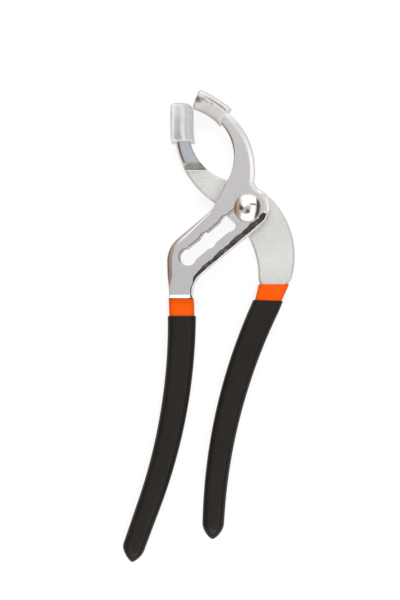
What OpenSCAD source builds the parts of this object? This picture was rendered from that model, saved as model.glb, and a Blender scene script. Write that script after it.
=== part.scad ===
// Slip joint pliers with capped round jaws and two-colour dipped handles.
// X runs to the plain lever's handle, Y from the handles to the jaws, Z from the nut to the bolt head.
// The origin is on the pivot axis, on the plane that the nut and both grips lie on.

/* [Joint] */
// Thickness of each lever where the two lie on each other
plate_t = 6; // [5.4:0.1:6.6]
// Running gap between the faces of the two levers
joint_gap = 0.2; // [0.1:0.05:0.4]
// Heading of the slip slot from the pivot, in degrees
slot_heading = 220; // [217:0.5:223]
// Distance from one notch of the slot to the next
notch_pitch = 13.8; // [12.6:0.1:14.4]
// Number of notches along the slot
notch_count = 4; // [3:1:5]
// Width of the slot between two notches
slot_neck = 6.4; // [5.8:0.1:6.8]
// Bevel on the front edge of the slot
slot_bevel = 0.8; // [0.4:0.1:1.2]

/* [Pivot bolt and nut] */
// Diameter of the bolt's journal
pivot_d = 8; // [7.4:0.1:8.6]
// Radial clearance of the journal in its bore and in the notches
run_clear = 0.05; // [0.03:0.01:0.1]
// Clearance of each bolt flat in the neck of the slot
flat_clear = 0.1; // [0.05:0.01:0.2]
// Clearance under the bolt head and over the nut
face_clear = 0.1; // [0.05:0.01:0.15]
// Diameter of the bolt head
head_d = 15; // [13:0.1:17]
// Height of the straight rim of the bolt head
head_rim = 0.9; // [0.5:0.1:1.5]
// Rise of the dome above that rim
head_dome = 2.7; // [1.5:0.1:4]
// Width of the nut across its flats
nut_af = 10; // [9.6:0.1:13]
// Height of the nut
nut_h = 3.2; // [2.8:0.1:3.8]
// Diameter of the bolt's thread
thread_d = 6; // [5:0.1:6.6]
// Depth of the round recess in the end of the bolt
end_recess = 0.4; // [0.2:0.1:0.8]

/* [Slotted lever] */
// Width of the plate around the slot
plate_w = 23.4; // [22:0.1:25]
// Reach of the plate past the pivot, beside the jaw
boss_r = 11; // [10.2:0.1:11.8]
// Distance from the last notch to the line of the handle, along the slot
slot_end = 5; // [4:0.1:7]
// Width of the neck below the bend
neck_w = 13; // [12.6:0.1:14]
// Radius of the bend on its outer edge
bend_out_r = 16; // [12:0.5:20]
// Radius of the bend on its inner edge
bend_in_r = 14; // [10:0.5:16]
// Straight run of the neck from that bend to the sleeve
neck_run = 2; // [1:0.1:5]
// Length of the ramp that sets the handle back behind the plate
ramp_len = 4.6; // [4:0.1:6]
// Extra width of the neck's outer edge at the bend
neck_flare = 1.2; // [0.4:0.1:2]
// Rise of the ramp's front above the top of the sleeve
ramp_front = 0.6; // [0.4:0.1:1]
// Rise of the ramp's back above the top of the sleeve
ramp_back = 3.6; // [3:0.1:4.2]
// Radius of the shoulder where the jaw runs into the plate
shoulder_r = 10; // [8:0.5:12]
// Width of the round on the plate's lower edge and on the back of the jaw
edge_wide = 3.8; // [2.4:0.1:4.2]
// Heading of the handle at the top of its sleeve, in degrees
slotted_heading = 273.4; // [272:0.1:275]
// Turn of the handle along its first stretch, in degrees
slotted_turn = 4.6; // [3.6:0.1:6]

/* [Slotted jaw] */
// Sideways place of the centre of the jaw's round
slotted_jaw_x = -33; // [-34:0.1:-32]
// Place of that centre above the pivot
slotted_jaw_y = 27; // [26:0.1:28]
// Radius of the gripping edge
slotted_jaw_r = 25.2; // [24.4:0.1:26]
// Width of the jaw at its tip
slotted_tip_w = 6.7; // [6:0.1:8]
// Width of the jaw at its root
slotted_root_w = 13.6; // [12.8:0.1:14.4]
// Angle of the jaw's tip round that centre, in degrees
slotted_tip_a = 79; // [76:0.5:80]
// How far the gripping edge is drawn in under the cap
slotted_draw = 1.2; // [0.6:0.1:2]

/* [Plain lever] */
// Sideways place of the centre of the jaw's round
plain_jaw_x = -4.5; // [-5.5:0.1:-3.5]
// Place of that centre above the pivot
plain_jaw_y = 40.8; // [40:0.1:42]
// Radius of the gripping edge
plain_jaw_r = 26.5; // [25.6:0.1:27.2]
// Width of the jaw at its tip
plain_tip_w = 8.2; // [7.4:0.1:9]
// Width of the jaw at its root
plain_root_w = 13.8; // [12.8:0.1:14.6]
// Straight length of the jaw's tip
plain_tip_len = 12.7; // [11.5:0.1:14]
// Height above the pivot at which the jaw steps forward
step_y = 20; // [18.5:0.1:21.5]
// Length of that step
step_len = 3.8; // [3.2:0.1:5]
// Height above the front of the step at which its back starts
step_back = 3.4; // [3:0.1:4]
// Sweep of the round of the jaw's outer edge, in degrees
round_sweep = 70; // [66:0.5:74]
// Furthest reach of the neck's outer edge from the pivot
neck_out = 24.9; // [24:0.1:26]
// Radius of the neck's outer edge
neck_out_r = 43.4; // [41:0.2:46]
// Furthest reach of the neck's inner edge from the pivot
neck_in = 5.5; // [4.5:0.1:6.5]
// Radius of the neck's inner edge
neck_in_r = 44; // [40:0.5:48]
// Drop from the pivot to the centre of the outer edge's round
neck_out_drop = 25.5; // [24:0.1:27]
// Drop from the pivot to the centre of the inner edge's round
neck_in_drop = 36.5; // [35:0.1:38]
// Drop from the pivot to where the neck starts to thicken
thick_drop = 16; // [14:0.5:18]
// Drop from the pivot to the top of the sleeve
plain_drop = 40.5; // [39:0.1:43]
// Heading of the handle at the top of its sleeve, in degrees
plain_heading = 252.7; // [251.5:0.1:254]
// Turn of the handle along its first stretch, in degrees
plain_turn = 7.4; // [6.4:0.1:8.4]
// Width of the bar at the top of the sleeve
plain_bar_w = 14.5; // [13.8:0.1:15]

/* [Handles] */
// Radius of the long curve of both handles
handle_r = 294; // [280:2:310]
// Length of the first stretch of both handles
handle_lead = 16; // [14:0.5:20]
// Length of the steel bar under the slotted lever's sleeve
slotted_bar_len = 134.5; // [122:0.5:142]
// Length of the steel bar under the plain lever's sleeve
plain_bar_len = 131; // [120:0.5:139]
// Straight length at the end of the slotted lever's bar
slotted_tail = 23; // [10:0.5:30]
// Straight length at the end of the plain lever's bar
plain_tail = 4; // [2:0.5:30]
// Thickness of the bar
bar_t = 8; // [7.6:0.1:8.6]
// Width of the bar at the top of the grip
bar_w = 12.4; // [11.8:0.1:13]
// Width of the bar at its end
bar_end_w = 8.6; // [8.2:0.1:10]
// Rounding of the bar's edges
bar_round = 2.4; // [1.6:0.1:2.8]

/* [Dipped sleeves] */
// Thickness of the inner layer
inner_layer = 0.5; // [0.4:0.05:0.8]
// Thickness of the outer layer
outer_layer = 0.75; // [0.6:0.05:1]
// Gap between one layer and the next
layer_gap = 0.05; // [0.02:0.01:0.08]
// Length of the inner layer that shows above the grip
collar_len = 9.2; // [7:0.1:12]
// Least distance of the forged neck above the top of the sleeve
sleeve_gap = 1; // [0.6:0.1:1.4]
// Length of handle along which its level section turns square to it
level_len = 45; // [35:1:60]
// Length of the rounded end of the grip
nose_len = 8.9; // [7.5:0.1:10]

/* [Jaw caps] */
// Length of each cap
cap_len = 20.4; // [18.5:0.1:21.5]
// Thickness of its closed end
cap_end = 2; // [1.6:0.1:2.6]
// Thickness of its front and back faces
cap_face = 1.5; // [1.2:0.1:2]
// Thickness of its back wall
cap_back = 2; // [1.6:0.1:2.4]
// Thickness of the gripping wall on the slotted jaw
slotted_cap_grip = 1.2; // [1.1:0.1:1.6]
// Thickness of the gripping wall on the plain jaw
plain_cap_grip = 2.2; // [1.8:0.1:2.4]
// Depth of the hollow in the mouth of its front and back faces
cap_mouth = 1.6; // [0.8:0.1:2.2]
// Round of the cap's gripping edges
grip_round = 3.4; // [2.8:0.1:3.6]
// Round of the cap's back edges
cap_round = 1.6; // [1.2:0.1:2]
// Round of the slotted cap's gripping corner
slotted_corner_round = 3; // [2.4:0.1:3.4]
// Round of the plain cap's gripping corner
plain_corner_round = 5; // [4:0.1:6]
// Round of each cap's back corner
back_corner_round = 2.2; // [1.6:0.1:2.8]
// Gap between a cap and its jaw
cap_gap = 0.05; // [0.02:0.01:0.08]
// Gap between the two caps with the handles closed
tip_gap = 0.35; // [0.25:0.05:0.8]

/* [Hidden] */
$fn = 72;
// Round of a lever's front edges and of its back edges
front_round = min(2.3, plate_t * 0.4);
back_round = min(1.1, plate_t * 0.2);
corner_n = 3;
layers = inner_layer + outer_layer + 2 * layer_gap;
// Height of the lap plane over the plane that the tool lies on
z_lap = plate_t / 2 + joint_gap / 2 + bar_t / 2 + layers;
front_z = z_lap + joint_gap / 2 + plate_t;
front_back_z = z_lap + joint_gap / 2;
rear_z = z_lap - joint_gap / 2;
rear_back_z = rear_z - plate_t;
bar_z = rear_z - plate_t / 2;
// The nut's seat is sunk until the nut ends on that plane
nut_top = nut_h;
seat_z = nut_top + face_clear;
slot_len = notch_pitch * (notch_count - 1);
u = [cos(slot_heading), sin(slot_heading)];
v = [sin(slot_heading), -cos(slot_heading)];
slotted_c = [slotted_jaw_x, slotted_jaw_y];
plain_c = [plain_jaw_x, plain_jaw_y];
flats = slot_neck - 2 * flat_clear;
head_z = front_z + face_clear;

function dir(a) = [cos(a), sin(a)];
function lerp(a, b, t) = a + (b - a) * t;
function clip(t) = max(0, min(1, t));
function smooth(t) = let (c = clip(t)) c * c * (3 - 2 * c);
function steps(n) = [for (i = [0:n]) i / n];
function arc(c, r, a0, a1, n) = [for (t = steps(n)) c + r * dir(lerp(a0, a1, t))];
function line(p, q, n) = [for (t = steps(n)) lerp(p, q, t)];
function rest(list) = [for (i = [1:len(list) - 1]) list[i]];
function inset(d, r) = d < r ? r - sqrt(max(0, r * r - (r - d) * (r - d))) : 0;
// Crossing of the line through p with heading a and the line through q with heading b
function meet(p, a, q, b) = p + dir(a) * (((q - p).x * sin(b) - (q - p).y * cos(b)) / sin(b - a));
// Rounded corner at p from heading a to heading b
function bend(p, a, b, r, n) =
    let (s = sign(b - a), c = p - r * tan(abs(b - a) / 2) * dir(a) + s * r * [-sin(a), cos(a)])
    arc(c, r, a - s * 90, b - s * 90, n);

// Section across a piece from edge point r to edge point l, between its front and back heights,
// with the corner rounds of depth k and width w in the order right front, left front, left back, right back
function section(r, l, front, back, k, w) =
    let (e = (l - r) / norm(l - r), q = [for (t = steps(corner_n)) 90 * t])
    concat(
        [for (a = q) let (p = r + e * w[0] * (1 - cos(a))) [p.x, p.y, front(p) - k[0] * (1 - sin(a))]],
        [for (a = q) let (p = l - e * w[1] * (1 - sin(a))) [p.x, p.y, front(p) - k[1] * (1 - cos(a))]],
        [for (a = q) let (p = l - e * w[2] * (1 - cos(a))) [p.x, p.y, back(p) + k[2] * (1 - sin(a))]],
        [for (a = q) let (p = r + e * w[3] * (1 - sin(a))) [p.x, p.y, back(p) + k[3] * (1 - cos(a))]]
    );

// Triangles between ring i and ring j of m points
function band(i, j, m) = [for (a = [0:m - 1]) let (b = (a + 1) % m)
    each [[i * m + a, i * m + b, j * m + b], [i * m + a, j * m + b, j * m + a]]];

module loft(rings) {
    m = len(rings[0]);
    n = len(rings);
    polyhedron(
        points = [for (r = rings) each r],
        faces = concat(
            [[for (a = [m - 1:-1:0]) a]],
            [for (i = [0:n - 2]) each band(i, i + 1, m)],
            [[for (a = [0:m - 1]) (n - 1) * m + a]]
        )
    );
}

// Shell from its mouth to its closed end: the outside rings, then the inside rings
module shell(outside, inside) {
    m = len(outside[0]);
    n = len(outside);
    k = len(inside);
    polyhedron(
        points = [for (r = concat(outside, inside)) each r],
        faces = concat(
            band(n, 0, m),
            [for (i = [0:n - 2]) each band(i, i + 1, m)],
            [[for (a = [0:m - 1]) (n - 1) * m + a]],
            [for (i = [n:n + k - 2]) each band(i + 1, i, m)],
            [[for (a = [m - 1:-1:0]) (n + k - 1) * m + a]]
        )
    );
}

// Slotted lever: front and back heights, set back at the ramp above the sleeve
slotted_neck_x = (slot_len + slot_end) * u.x;
bend_p_out = meet(v * plate_w / 2, slot_heading, [slotted_neck_x - neck_w / 2 - neck_flare, 0], 270);
bend_p_in = meet(-v * plate_w / 2, slot_heading, [slotted_neck_x + neck_w / 2, 0], 270);
bend_end_y = bend_p_in.y - bend_in_r * tan((270 - slot_heading) / 2);
slotted_top = [slotted_neck_x, bend_end_y - neck_run];
function slotted_front(p) =
    lerp(bar_z + bar_t / 2, front_z, smooth((p.y - slotted_top.y - ramp_front) / ramp_len));
function slotted_back(p) =
    lerp(bar_z - bar_t / 2, front_back_z, smooth((p.y - slotted_top.y - ramp_back) / ramp_len));

// Slotted jaw: its gripping edge and its outer edge, at an angle round the jaw's centre
slotted_root_a = -28;
slotted_outer_a = -20.5;
function slotted_in(a) = slotted_jaw_r + slotted_draw * clip((a - 40) / (slotted_tip_a - 40));
function slotted_width(t) = lerp(slotted_tip_w, slotted_root_w, pow(t, 2));
function slotted_r_in(t) = slotted_in(lerp(slotted_tip_a, slotted_root_a, t));
function slotted_in_pt(t) = slotted_c + slotted_r_in(t) * dir(lerp(slotted_tip_a, slotted_root_a, t));
function slotted_out_pt(t) =
    let (a = lerp(slotted_tip_a, slotted_outer_a, t))
    slotted_c + (slotted_in(a) + slotted_width(t)) * dir(a);

// Neck of the plain lever: the rounds of its two edges and the middle of its sleeve's top
neck_out_c = [neck_out - neck_out_r, -neck_out_drop];
neck_in_c = [neck_in - neck_in_r, -neck_in_drop];
neck_in_a = 28;
function out_a(y) = asin((y - neck_out_c.y) / neck_out_r);
function in_a(y) = asin((y - neck_in_c.y) / neck_in_r);
neck_low = -plain_drop + 2.5 * sleeve_gap;
function neck_out_x(y) = neck_out_c.x + neck_out_r * cos(out_a(y));
function neck_in_x(y) = neck_in_c.x + neck_in_r * cos(in_a(y));
plain_top = [(neck_out_x(-plain_drop) + neck_in_x(-plain_drop)) / 2, -plain_drop];

// Handle of each lever: start, heading, first turn, way of the long curve,
// bar width at the top, bar length and start of the straight end
slotted_h = [slotted_top, slotted_heading, -slotted_turn, -1,
    neck_w - 0.5, slotted_bar_len, slotted_bar_len - slotted_tail];
plain_h = [plain_top, plain_heading, -plain_turn, 1,
    plain_bar_w, plain_bar_len, plain_bar_len - plain_tail];
function curve_pt(p, a, b, r) = p + r * [sin(b) - sin(a), cos(a) - cos(b)];
function lead_at(h, s) = h[1] + h[2] * s / handle_lead;
function long_at(h, s) = h[1] + h[2] + h[3] * (s - handle_lead) / handle_r * 180 / PI;
function head_at(h, s) = s < handle_lead ? lead_at(h, s) : long_at(h, min(s, h[6]));
function handle_pt(h, s) =
    let (r = handle_lead / (h[2] * PI / 180), b = h[1] + h[2])
    s < handle_lead ? curve_pt(h[0], h[1], head_at(h, s), r)
    : curve_pt(curve_pt(h[0], h[1], b, r), b, head_at(h, s), h[3] * handle_r)
        + max(0, s - h[6]) * dir(head_at(h, s));
function bar_half(h, s) =
    (s < collar_len ? lerp(h[4], bar_w, s / collar_len)
    : lerp(bar_w, bar_end_w, (min(s, h[5]) - collar_len) / (h[5] - collar_len))) / 2;
// The top of each dip layer is level, so the section turns from level to square along the handle
function cut_at(h, s) = lerp(270, head_at(h, s), smooth(s / level_len));
function edge_pt(h, s, half) =
    let (c = cut_at(h, s))
    handle_pt(h, s) + half / cos(head_at(h, s) - c) * [sin(c), -cos(c)];
function handle_ring(h, s, grow, keep) =
    let (
        half = (bar_half(h, s) + grow) * keep,
        up = (bar_t / 2 + grow) * (1 - 0.8 * (1 - keep)),
        k = min(bar_round + grow, half * 0.9, up * 0.9),
        ks = [k, k, k, k]
    )
    section(
        edge_pt(h, s, half),
        edge_pt(h, s, -half),
        function (p) bar_z + up,
        function (p) bar_z - up,
        ks,
        ks
    );
// Stations that the bar and both layers share: the collar, the first stretch and the long curve
lead_s = max(handle_lead, collar_len + 2);
function bar_s(h) =
    concat([0, collar_len / 2, collar_len, lead_s], [for (i = [1:14]) lerp(lead_s, h[5], i / 14)]);
function upto(list, last) = [for (i = [0:len(list) - 1]) i == len(list) - 1 ? last : list[i]];
lever_k = [front_round, front_round, back_round, back_round];
slotted_w = [front_round, edge_wide, back_round, back_round];

// Ring stations of the slotted lever, as its right edge and its left edge from the tip down
slotted_n = 26;
p_shoulder = meet(slotted_in_pt(1), 270 + slotted_root_a, v * plate_w / 2, slot_heading);
shoulder = bend(p_shoulder, 270 + slotted_root_a, slot_heading, shoulder_r, 5);
bend_out = bend(bend_p_out, slot_heading, 270, bend_out_r, 9);
in_start = bend_p_in - bend_in_r * tan((270 - slot_heading) / 2) * u;
in_c = [bend_p_in.x + bend_in_r, bend_end_y];
function in_edge_x(y) =
    y > bend_end_y ? in_c.x - sqrt(max(0, bend_in_r * bend_in_r - pow(y - in_c.y, 2))) : bend_p_in.x;
function flare_at(y) = neck_flare * (1 - smooth((in_start.y - y + 4) / 16));
neck_y = [for (t = steps(14)) lerp(in_start.y, slotted_top.y + sleeve_gap * 0.7, t)];
slotted_right = concat(
    [for (t = steps(slotted_n)) slotted_in_pt(t)],
    rest(line(slotted_in_pt(1), shoulder[0], 5)),
    rest(shoulder),
    rest(line(shoulder[5], bend_out[0], 3)),
    rest(bend_out),
    [for (y = rest(neck_y)) [slotted_neck_x - neck_w / 2 - flare_at(y), y]]
);
slotted_side = -90 + slot_heading - 180;
slotted_left = concat(
    [for (t = steps(slotted_n)) slotted_out_pt(t)],
    [for (t = rest(steps(10))) lerp(boss_r, plate_w / 2, t) * dir(lerp(58, slotted_side, t))],
    rest(line(-v * plate_w / 2, in_start, 12)),
    [for (y = rest(neck_y)) [in_edge_x(y), y]]
);

module slotted_blank() {
    rings = [for (i = [0:len(slotted_right) - 1])
        section(
            slotted_right[i],
            slotted_left[i],
            function (p) slotted_front(p),
            function (p) slotted_back(p),
            lever_k,
            slotted_w
        )];
    loft(concat(rings, [for (s = bar_s(slotted_h)) handle_ring(slotted_h, s, 0, 1)]));
}

module slot_cut(grow, z0, z1) {
    for (i = [0:notch_count - 1]) {
        translate([u.x * notch_pitch * i, u.y * notch_pitch * i, z0])
            cylinder(d = pivot_d + 2 * run_clear + 2 * grow, h = z1 - z0);
    }
    rotate([0, 0, slot_heading])
        translate([0, -slot_neck / 2 - grow, z0])
        cube([slot_len, slot_neck + 2 * grow, z1 - z0]);
}

// Bevel on the slot's front edge: a cone at each notch and a wedge along the necks
module slot_bevel_cut() {
    notch_r = pivot_d / 2 + run_clear;
    over = slot_bevel + 0.5;
    for (i = [0:notch_count - 1]) {
        translate([u.x * notch_pitch * i, u.y * notch_pitch * i, front_z - slot_bevel])
            cylinder(r1 = notch_r, r2 = notch_r + over, h = over);
    }
    translate([0, 0, front_z - slot_bevel])
        rotate([0, 0, slot_heading])
        rotate([90, 0, 90])
        linear_extrude(slot_len)
        polygon([
            [-slot_neck / 2, 0],
            [slot_neck / 2, 0],
            [slot_neck / 2 + over, over],
            [-slot_neck / 2 - over, over]
        ]);
}

module slotted_lever() {
    color("#c9cacd")
    difference() {
        slotted_blank();
        slot_cut(0, z_lap - 3, front_z + 3);
        slot_bevel_cut();
    }
}

// Plain lever: heights, edges and stations from the tip down
plain_tip_y = plain_jaw_y + plain_tip_len;
plain_out_a = 180 + round_sweep;
function thick_share(p) = smooth((-thick_drop - p.y) / (plain_drop - sleeve_gap - thick_drop));
function plain_front(p) =
    p.y > 0 ? lerp(rear_z, front_z, smooth((p.y - step_y) / step_len))
    : lerp(rear_z, bar_z + bar_t / 2, thick_share(p));
function plain_back(p) =
    p.y > 0 ? lerp(rear_back_z, front_back_z, smooth((p.y - step_y - step_back) / step_len))
    : lerp(rear_back_z, bar_z - bar_t / 2, thick_share(p));
function plain_width(a) = lerp(plain_tip_w, plain_root_w, pow(clip((a - 180) / (plain_out_a - 180)), 2.3));
function plain_out_pt(a) = plain_c + (plain_jaw_r + plain_width(a)) * dir(a);
function plain_in_pt(y) = [plain_jaw_x - sqrt(plain_jaw_r * plain_jaw_r - pow(plain_jaw_y - y, 2)), y];
plain_level_a = 180 + asin((plain_jaw_y - step_y + step_len * 0.65) / (plain_jaw_r + plain_tip_w * 1.2));
plain_in_a = 180 + asin((plain_jaw_y - plain_out_pt(plain_level_a).y) / plain_jaw_r);
plain_right = concat(
    [for (t = steps(4)) [plain_jaw_x - plain_jaw_r - plain_tip_w, lerp(plain_tip_y, plain_jaw_y, t)]],
    [for (t = rest(steps(24))) plain_out_pt(lerp(180, plain_level_a, t))],
    [for (t = rest(steps(6))) plain_out_pt(lerp(plain_level_a, plain_out_a, t))],
    rest(line(plain_out_pt(plain_out_a), neck_in_c + neck_in_r * dir(neck_in_a), 8)),
    rest(arc(neck_in_c, neck_in_r, neck_in_a, in_a(neck_low), 8))
);
plain_left = concat(
    [for (t = steps(4)) [plain_jaw_x - plain_jaw_r, lerp(plain_tip_y, plain_jaw_y, t)]],
    [for (t = rest(steps(24))) plain_in_pt(plain_out_pt(lerp(180, plain_level_a, t)).y)],
    rest(arc(plain_c, plain_jaw_r, plain_in_a, 262, 6)),
    arc(neck_out_c, neck_out_r, 60, 25, 7),
    rest(arc(neck_out_c, neck_out_r, 25, out_a(neck_low), 8))
);

module plain_blank() {
    rings = [for (i = [0:len(plain_right) - 1])
        section(
            plain_right[i],
            plain_left[i],
            function (p) plain_front(p),
            function (p) plain_back(p),
            lever_k,
            lever_k
        )];
    loft(concat(rings, [for (s = bar_s(plain_h)) handle_ring(plain_h, s, 0, 1)]));
}

// The plain lever is closed until the round corners of the two caps are a set gap apart
slotted_end_a = slotted_tip_a + cap_end / (slotted_in(slotted_tip_a) + slotted_tip_w / 2) * 180 / PI;
slotted_corner_r = slotted_in(slotted_tip_a) - slotted_cap_grip + slotted_corner_round;
slotted_corner_a = slotted_end_a - asin(slotted_corner_round / slotted_corner_r);
slotted_corner = slotted_c + slotted_corner_r * dir(slotted_corner_a);
plain_corner = [plain_jaw_x - plain_jaw_r + plain_cap_grip, plain_tip_y + cap_end]
    - plain_corner_round * [1, 1];
corner_reach = plain_corner_round + slotted_corner_round + tip_gap;
corner_cos = (pow(norm(slotted_corner), 2) + pow(norm(plain_corner), 2) - corner_reach * corner_reach)
    / (2 * norm(slotted_corner) * norm(plain_corner));
function bearing(p) = atan2(p.y, p.x);
close_a = bearing(slotted_corner) - bearing(plain_corner) + acos(corner_cos);

module plain_lever() {
    color("#d2d3d3")
    difference() {
        rotate([0, 0, close_a]) plain_blank();
        translate([0, 0, -1]) cylinder(d = pivot_d + 2 * run_clear, h = z_lap + 3);
        translate([0, 0, -1]) cylinder(d = nut_af / cos(30) + 3, h = seat_z + 1);
    }
}

module pivot_bolt() {
    color("#e3e4e6")
    difference() {
        rotate_extrude() bolt_profile();
        for (side = [0, 180]) {
            rotate([0, 0, slot_heading + side])
                translate([-pivot_d, flats / 2, z_lap])
                cube([2 * pivot_d, pivot_d, head_z - z_lap]);
        }
        translate([0, 0, -1]) cylinder(d = thread_d * 0.55, h = 1.25 + end_recess);
    }
}

// Half section of the bolt: thread, journal and domed head
module bolt_profile() {
    dome_r = (head_d * head_d / 4 + head_dome * head_dome) / (2 * head_dome);
    top_z = head_z + head_rim + head_dome;
    polygon([
        [0, 0.25],
        [thread_d / 2 - 0.4, 0.25],
        [thread_d / 2, 0.65],
        [thread_d / 2, nut_top],
        [pivot_d / 2, nut_top],
        [pivot_d / 2, head_z],
        [0, head_z]
    ]);
    intersection() {
        translate([0, head_z]) square([head_d / 2, head_rim + head_dome]);
        translate([0, top_z - dome_r]) circle(r = dome_r);
    }
}

module pivot_nut() {
    color("#b9bbbe")
    difference() {
        intersection() {
            cylinder(d = nut_af / cos(30), h = nut_h, $fn = 6);
            rotate_extrude() nut_profile();
        }
        translate([0, 0, -1]) cylinder(d = thread_d + 2 * run_clear, h = nut_h + 2);
    }
}

// Half section that bevels the corners of the nut on both faces
module nut_profile() {
    wide = nut_af / cos(30) / 2 + 0.1;
    face = nut_af / 2 - 0.15;
    drop = (wide - face) * tan(30);
    polygon([
        [0, 0],
        [face, 0],
        [wide, drop],
        [wide, nut_h - drop],
        [face, nut_h],
        [0, nut_h]
    ]);
}

// Share of a face point, nought on the sides and one on the front and the back, round a section
face_share = [for (j = [0:3], t = steps(corner_n)) j % 2 == 0 ? sin(90 * t) : cos(90 * t)];
function hollow(ring, way, deep) =
    [for (i = [0:len(ring) - 1]) ring[i] + deep * face_share[i] * [way.x, way.y, 0]];
// Cap ring: jaw edges moved out by the gripping wall and the back wall, drawn in near the closed end
function cap_ring(r, l, d, near, far, k) =
    let (e = (l - r) / norm(l - r), z_in = inset(d, cap_round))
    section(
        r - e * (near - inset(d, k[4])),
        l + e * (far - inset(d, k[5])),
        function (p) front_z + cap_face - z_in,
        function (p) front_back_z - cap_face + z_in,
        k,
        k
    );

module slotted_jaw_cap() {
    color("#d8dadb")
    shell(
        [for (a = slotted_cap_a) hollow(slotted_cap_ring(a), dir(a + 90), slotted_mouth(a))],
        [for (a = slotted_hole_a) hollow(slotted_hole_ring(a), dir(a + 90), slotted_mouth(a))]
    );
}

slotted_mid_r = slotted_in(slotted_tip_a) + slotted_tip_w / 2;
slotted_mouth_a = slotted_end_a - cap_len / slotted_mid_r * 180 / PI;
// Distances from the closed end of a cap, as shares of its corner round
end_shares = [0.67, 0.42, 0.23, 0.12, 0.04, 0];
function slotted_back_a(d) = slotted_end_a - d / slotted_mid_r * 180 / PI;
function slotted_mouth(a) = a == slotted_mouth_a ? cap_mouth : 0;
slotted_cap_a = concat(
    [for (t = steps(10)) lerp(slotted_mouth_a, slotted_back_a(slotted_corner_round), t)],
    [for (d = slotted_corner_round * end_shares) slotted_back_a(d)]
);
slotted_hole_end = slotted_tip_a + cap_gap / slotted_mid_r * 180 / PI;
slotted_hole_a = [for (t = steps(10)) lerp(slotted_mouth_a, slotted_hole_end, t)];
function slotted_t(a) = (slotted_tip_a - a) / (slotted_tip_a - slotted_outer_a);
function slotted_jaw_in(a) = slotted_c + slotted_in(a) * dir(a);
function slotted_jaw_out(a) = slotted_c + (slotted_in(a) + slotted_width(max(0, slotted_t(a)))) * dir(a);
function slotted_cap_ring(a) =
    let (d = (slotted_end_a - a) * slotted_mid_r * PI / 180)
    cap_ring(slotted_jaw_out(a), slotted_jaw_in(a), d, cap_back, slotted_cap_grip,
        [cap_round, grip_round, grip_round, cap_round, back_corner_round, slotted_corner_round]);
function hole_ring(r, l, w) =
    let (e = (l - r) / norm(l - r))
    section(
        r - e * cap_gap,
        l + e * cap_gap,
        function (p) front_z + cap_gap,
        function (p) front_back_z - cap_gap,
        lever_k,
        w
    );
function slotted_hole_ring(a) =
    hole_ring(slotted_jaw_out(a), slotted_jaw_in(a), [edge_wide, front_round, back_round, back_round]);

module plain_jaw_cap() {
    color("#d4d6d7")
    rotate([0, 0, close_a])
    shell(
        [for (y = plain_cap_y) hollow(plain_cap_ring(y), dir(plain_mouth_a - 90), plain_mouth(y))],
        [for (y = plain_hole_y) hollow(plain_hole_ring(y), dir(plain_mouth_a - 90), plain_mouth(y))]
    );
}

plain_end_y = plain_tip_y + cap_end;
plain_mouth_a = 180 + asin((plain_jaw_y - plain_end_y + cap_len) / (plain_jaw_r + plain_tip_w));
plain_mouth_y = plain_out_pt(plain_mouth_a).y;
function plain_mouth(y) = y == plain_mouth_y ? cap_mouth : 0;
// Edge points of the plain jaw at a height, on its round and on its straight tip
plain_low_y = [for (t = steps(4)) plain_out_pt(lerp(plain_mouth_a, 180, t)).y];
plain_cap_y = concat(
    plain_low_y,
    [for (t = rest(steps(3))) lerp(plain_jaw_y, plain_end_y - plain_corner_round, t)],
    [for (d = plain_corner_round * end_shares) plain_end_y - d]
);
plain_hole_y = concat(plain_low_y, [for (t = rest(steps(3))) lerp(plain_jaw_y, plain_tip_y + cap_gap, t)]);
function plain_jaw_in(y) = y > plain_jaw_y ? [plain_jaw_x - plain_jaw_r, y] : plain_in_pt(y);
function plain_out_a_at(y) = 180 + asin((plain_jaw_y - y) / (plain_jaw_r + plain_tip_w));
function plain_jaw_out(y) =
    y > plain_jaw_y ? [plain_jaw_x - plain_jaw_r - plain_tip_w, y] : [plain_out_pt(plain_out_a_at(y)).x, y];
function plain_cap_ring(y) =
    cap_ring(plain_jaw_in(y), plain_jaw_out(y), plain_end_y - y, plain_cap_grip, cap_back,
        [grip_round, cap_round, cap_round, grip_round, plain_corner_round, back_corner_round]);
function plain_hole_ring(y) = hole_ring(plain_jaw_in(y), plain_jaw_out(y), lever_k);

// Dip layers: rings from the level top to the closed end
inner_grow = layer_gap + inner_layer;
outer_grow = inner_grow + layer_gap + outer_layer;
function grip_s(h) = [for (s = bar_s(h)) if (s >= collar_len) s];

module inner_sleeve(h) {
    shell(
        [for (s = concat(bar_s(h), [h[5] + inner_grow])) handle_ring(h, s, inner_grow, 1)],
        [for (s = upto(bar_s(h), h[5] + layer_gap)) handle_ring(h, s, layer_gap, 1)]
    );
}

module grip(h) {
    end = h[5] + inner_grow + layer_gap;
    shell(
        concat(
            [for (s = concat(grip_s(h), [end + 0.3])) handle_ring(h, s, outer_grow, 1)],
            [for (t = [0.3, 0.5, 0.68, 0.82, 0.92, 0.98])
                handle_ring(h, end + 0.3 + nose_len * t, outer_grow, pow(1 - t * t, 0.65))]
        ),
        [for (s = upto(grip_s(h), end)) handle_ring(h, s, inner_grow + layer_gap, 1)]
    );
}

module slotted_inner_sleeve() {
    color("#ff6a10") inner_sleeve(slotted_h);
}

module plain_inner_sleeve() {
    color("#ff6a10") rotate([0, 0, close_a]) inner_sleeve(plain_h);
}

module slotted_grip() {
    color("#2f2b28") grip(slotted_h);
}

module plain_grip() {
    color("#2f2b28") rotate([0, 0, close_a]) grip(plain_h);
}

slotted_lever();
plain_lever();
pivot_bolt();
pivot_nut();
slotted_jaw_cap();
plain_jaw_cap();
slotted_inner_sleeve();
plain_inner_sleeve();
slotted_grip();
plain_grip();
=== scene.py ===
"""Looks of slip joint pliers: two plated forgings, a chrome bolt, frosted jaw caps and dipped handles.

Sizes are in millimetres, as on the solids, and turn to metres where a mesh is made.
"""

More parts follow.
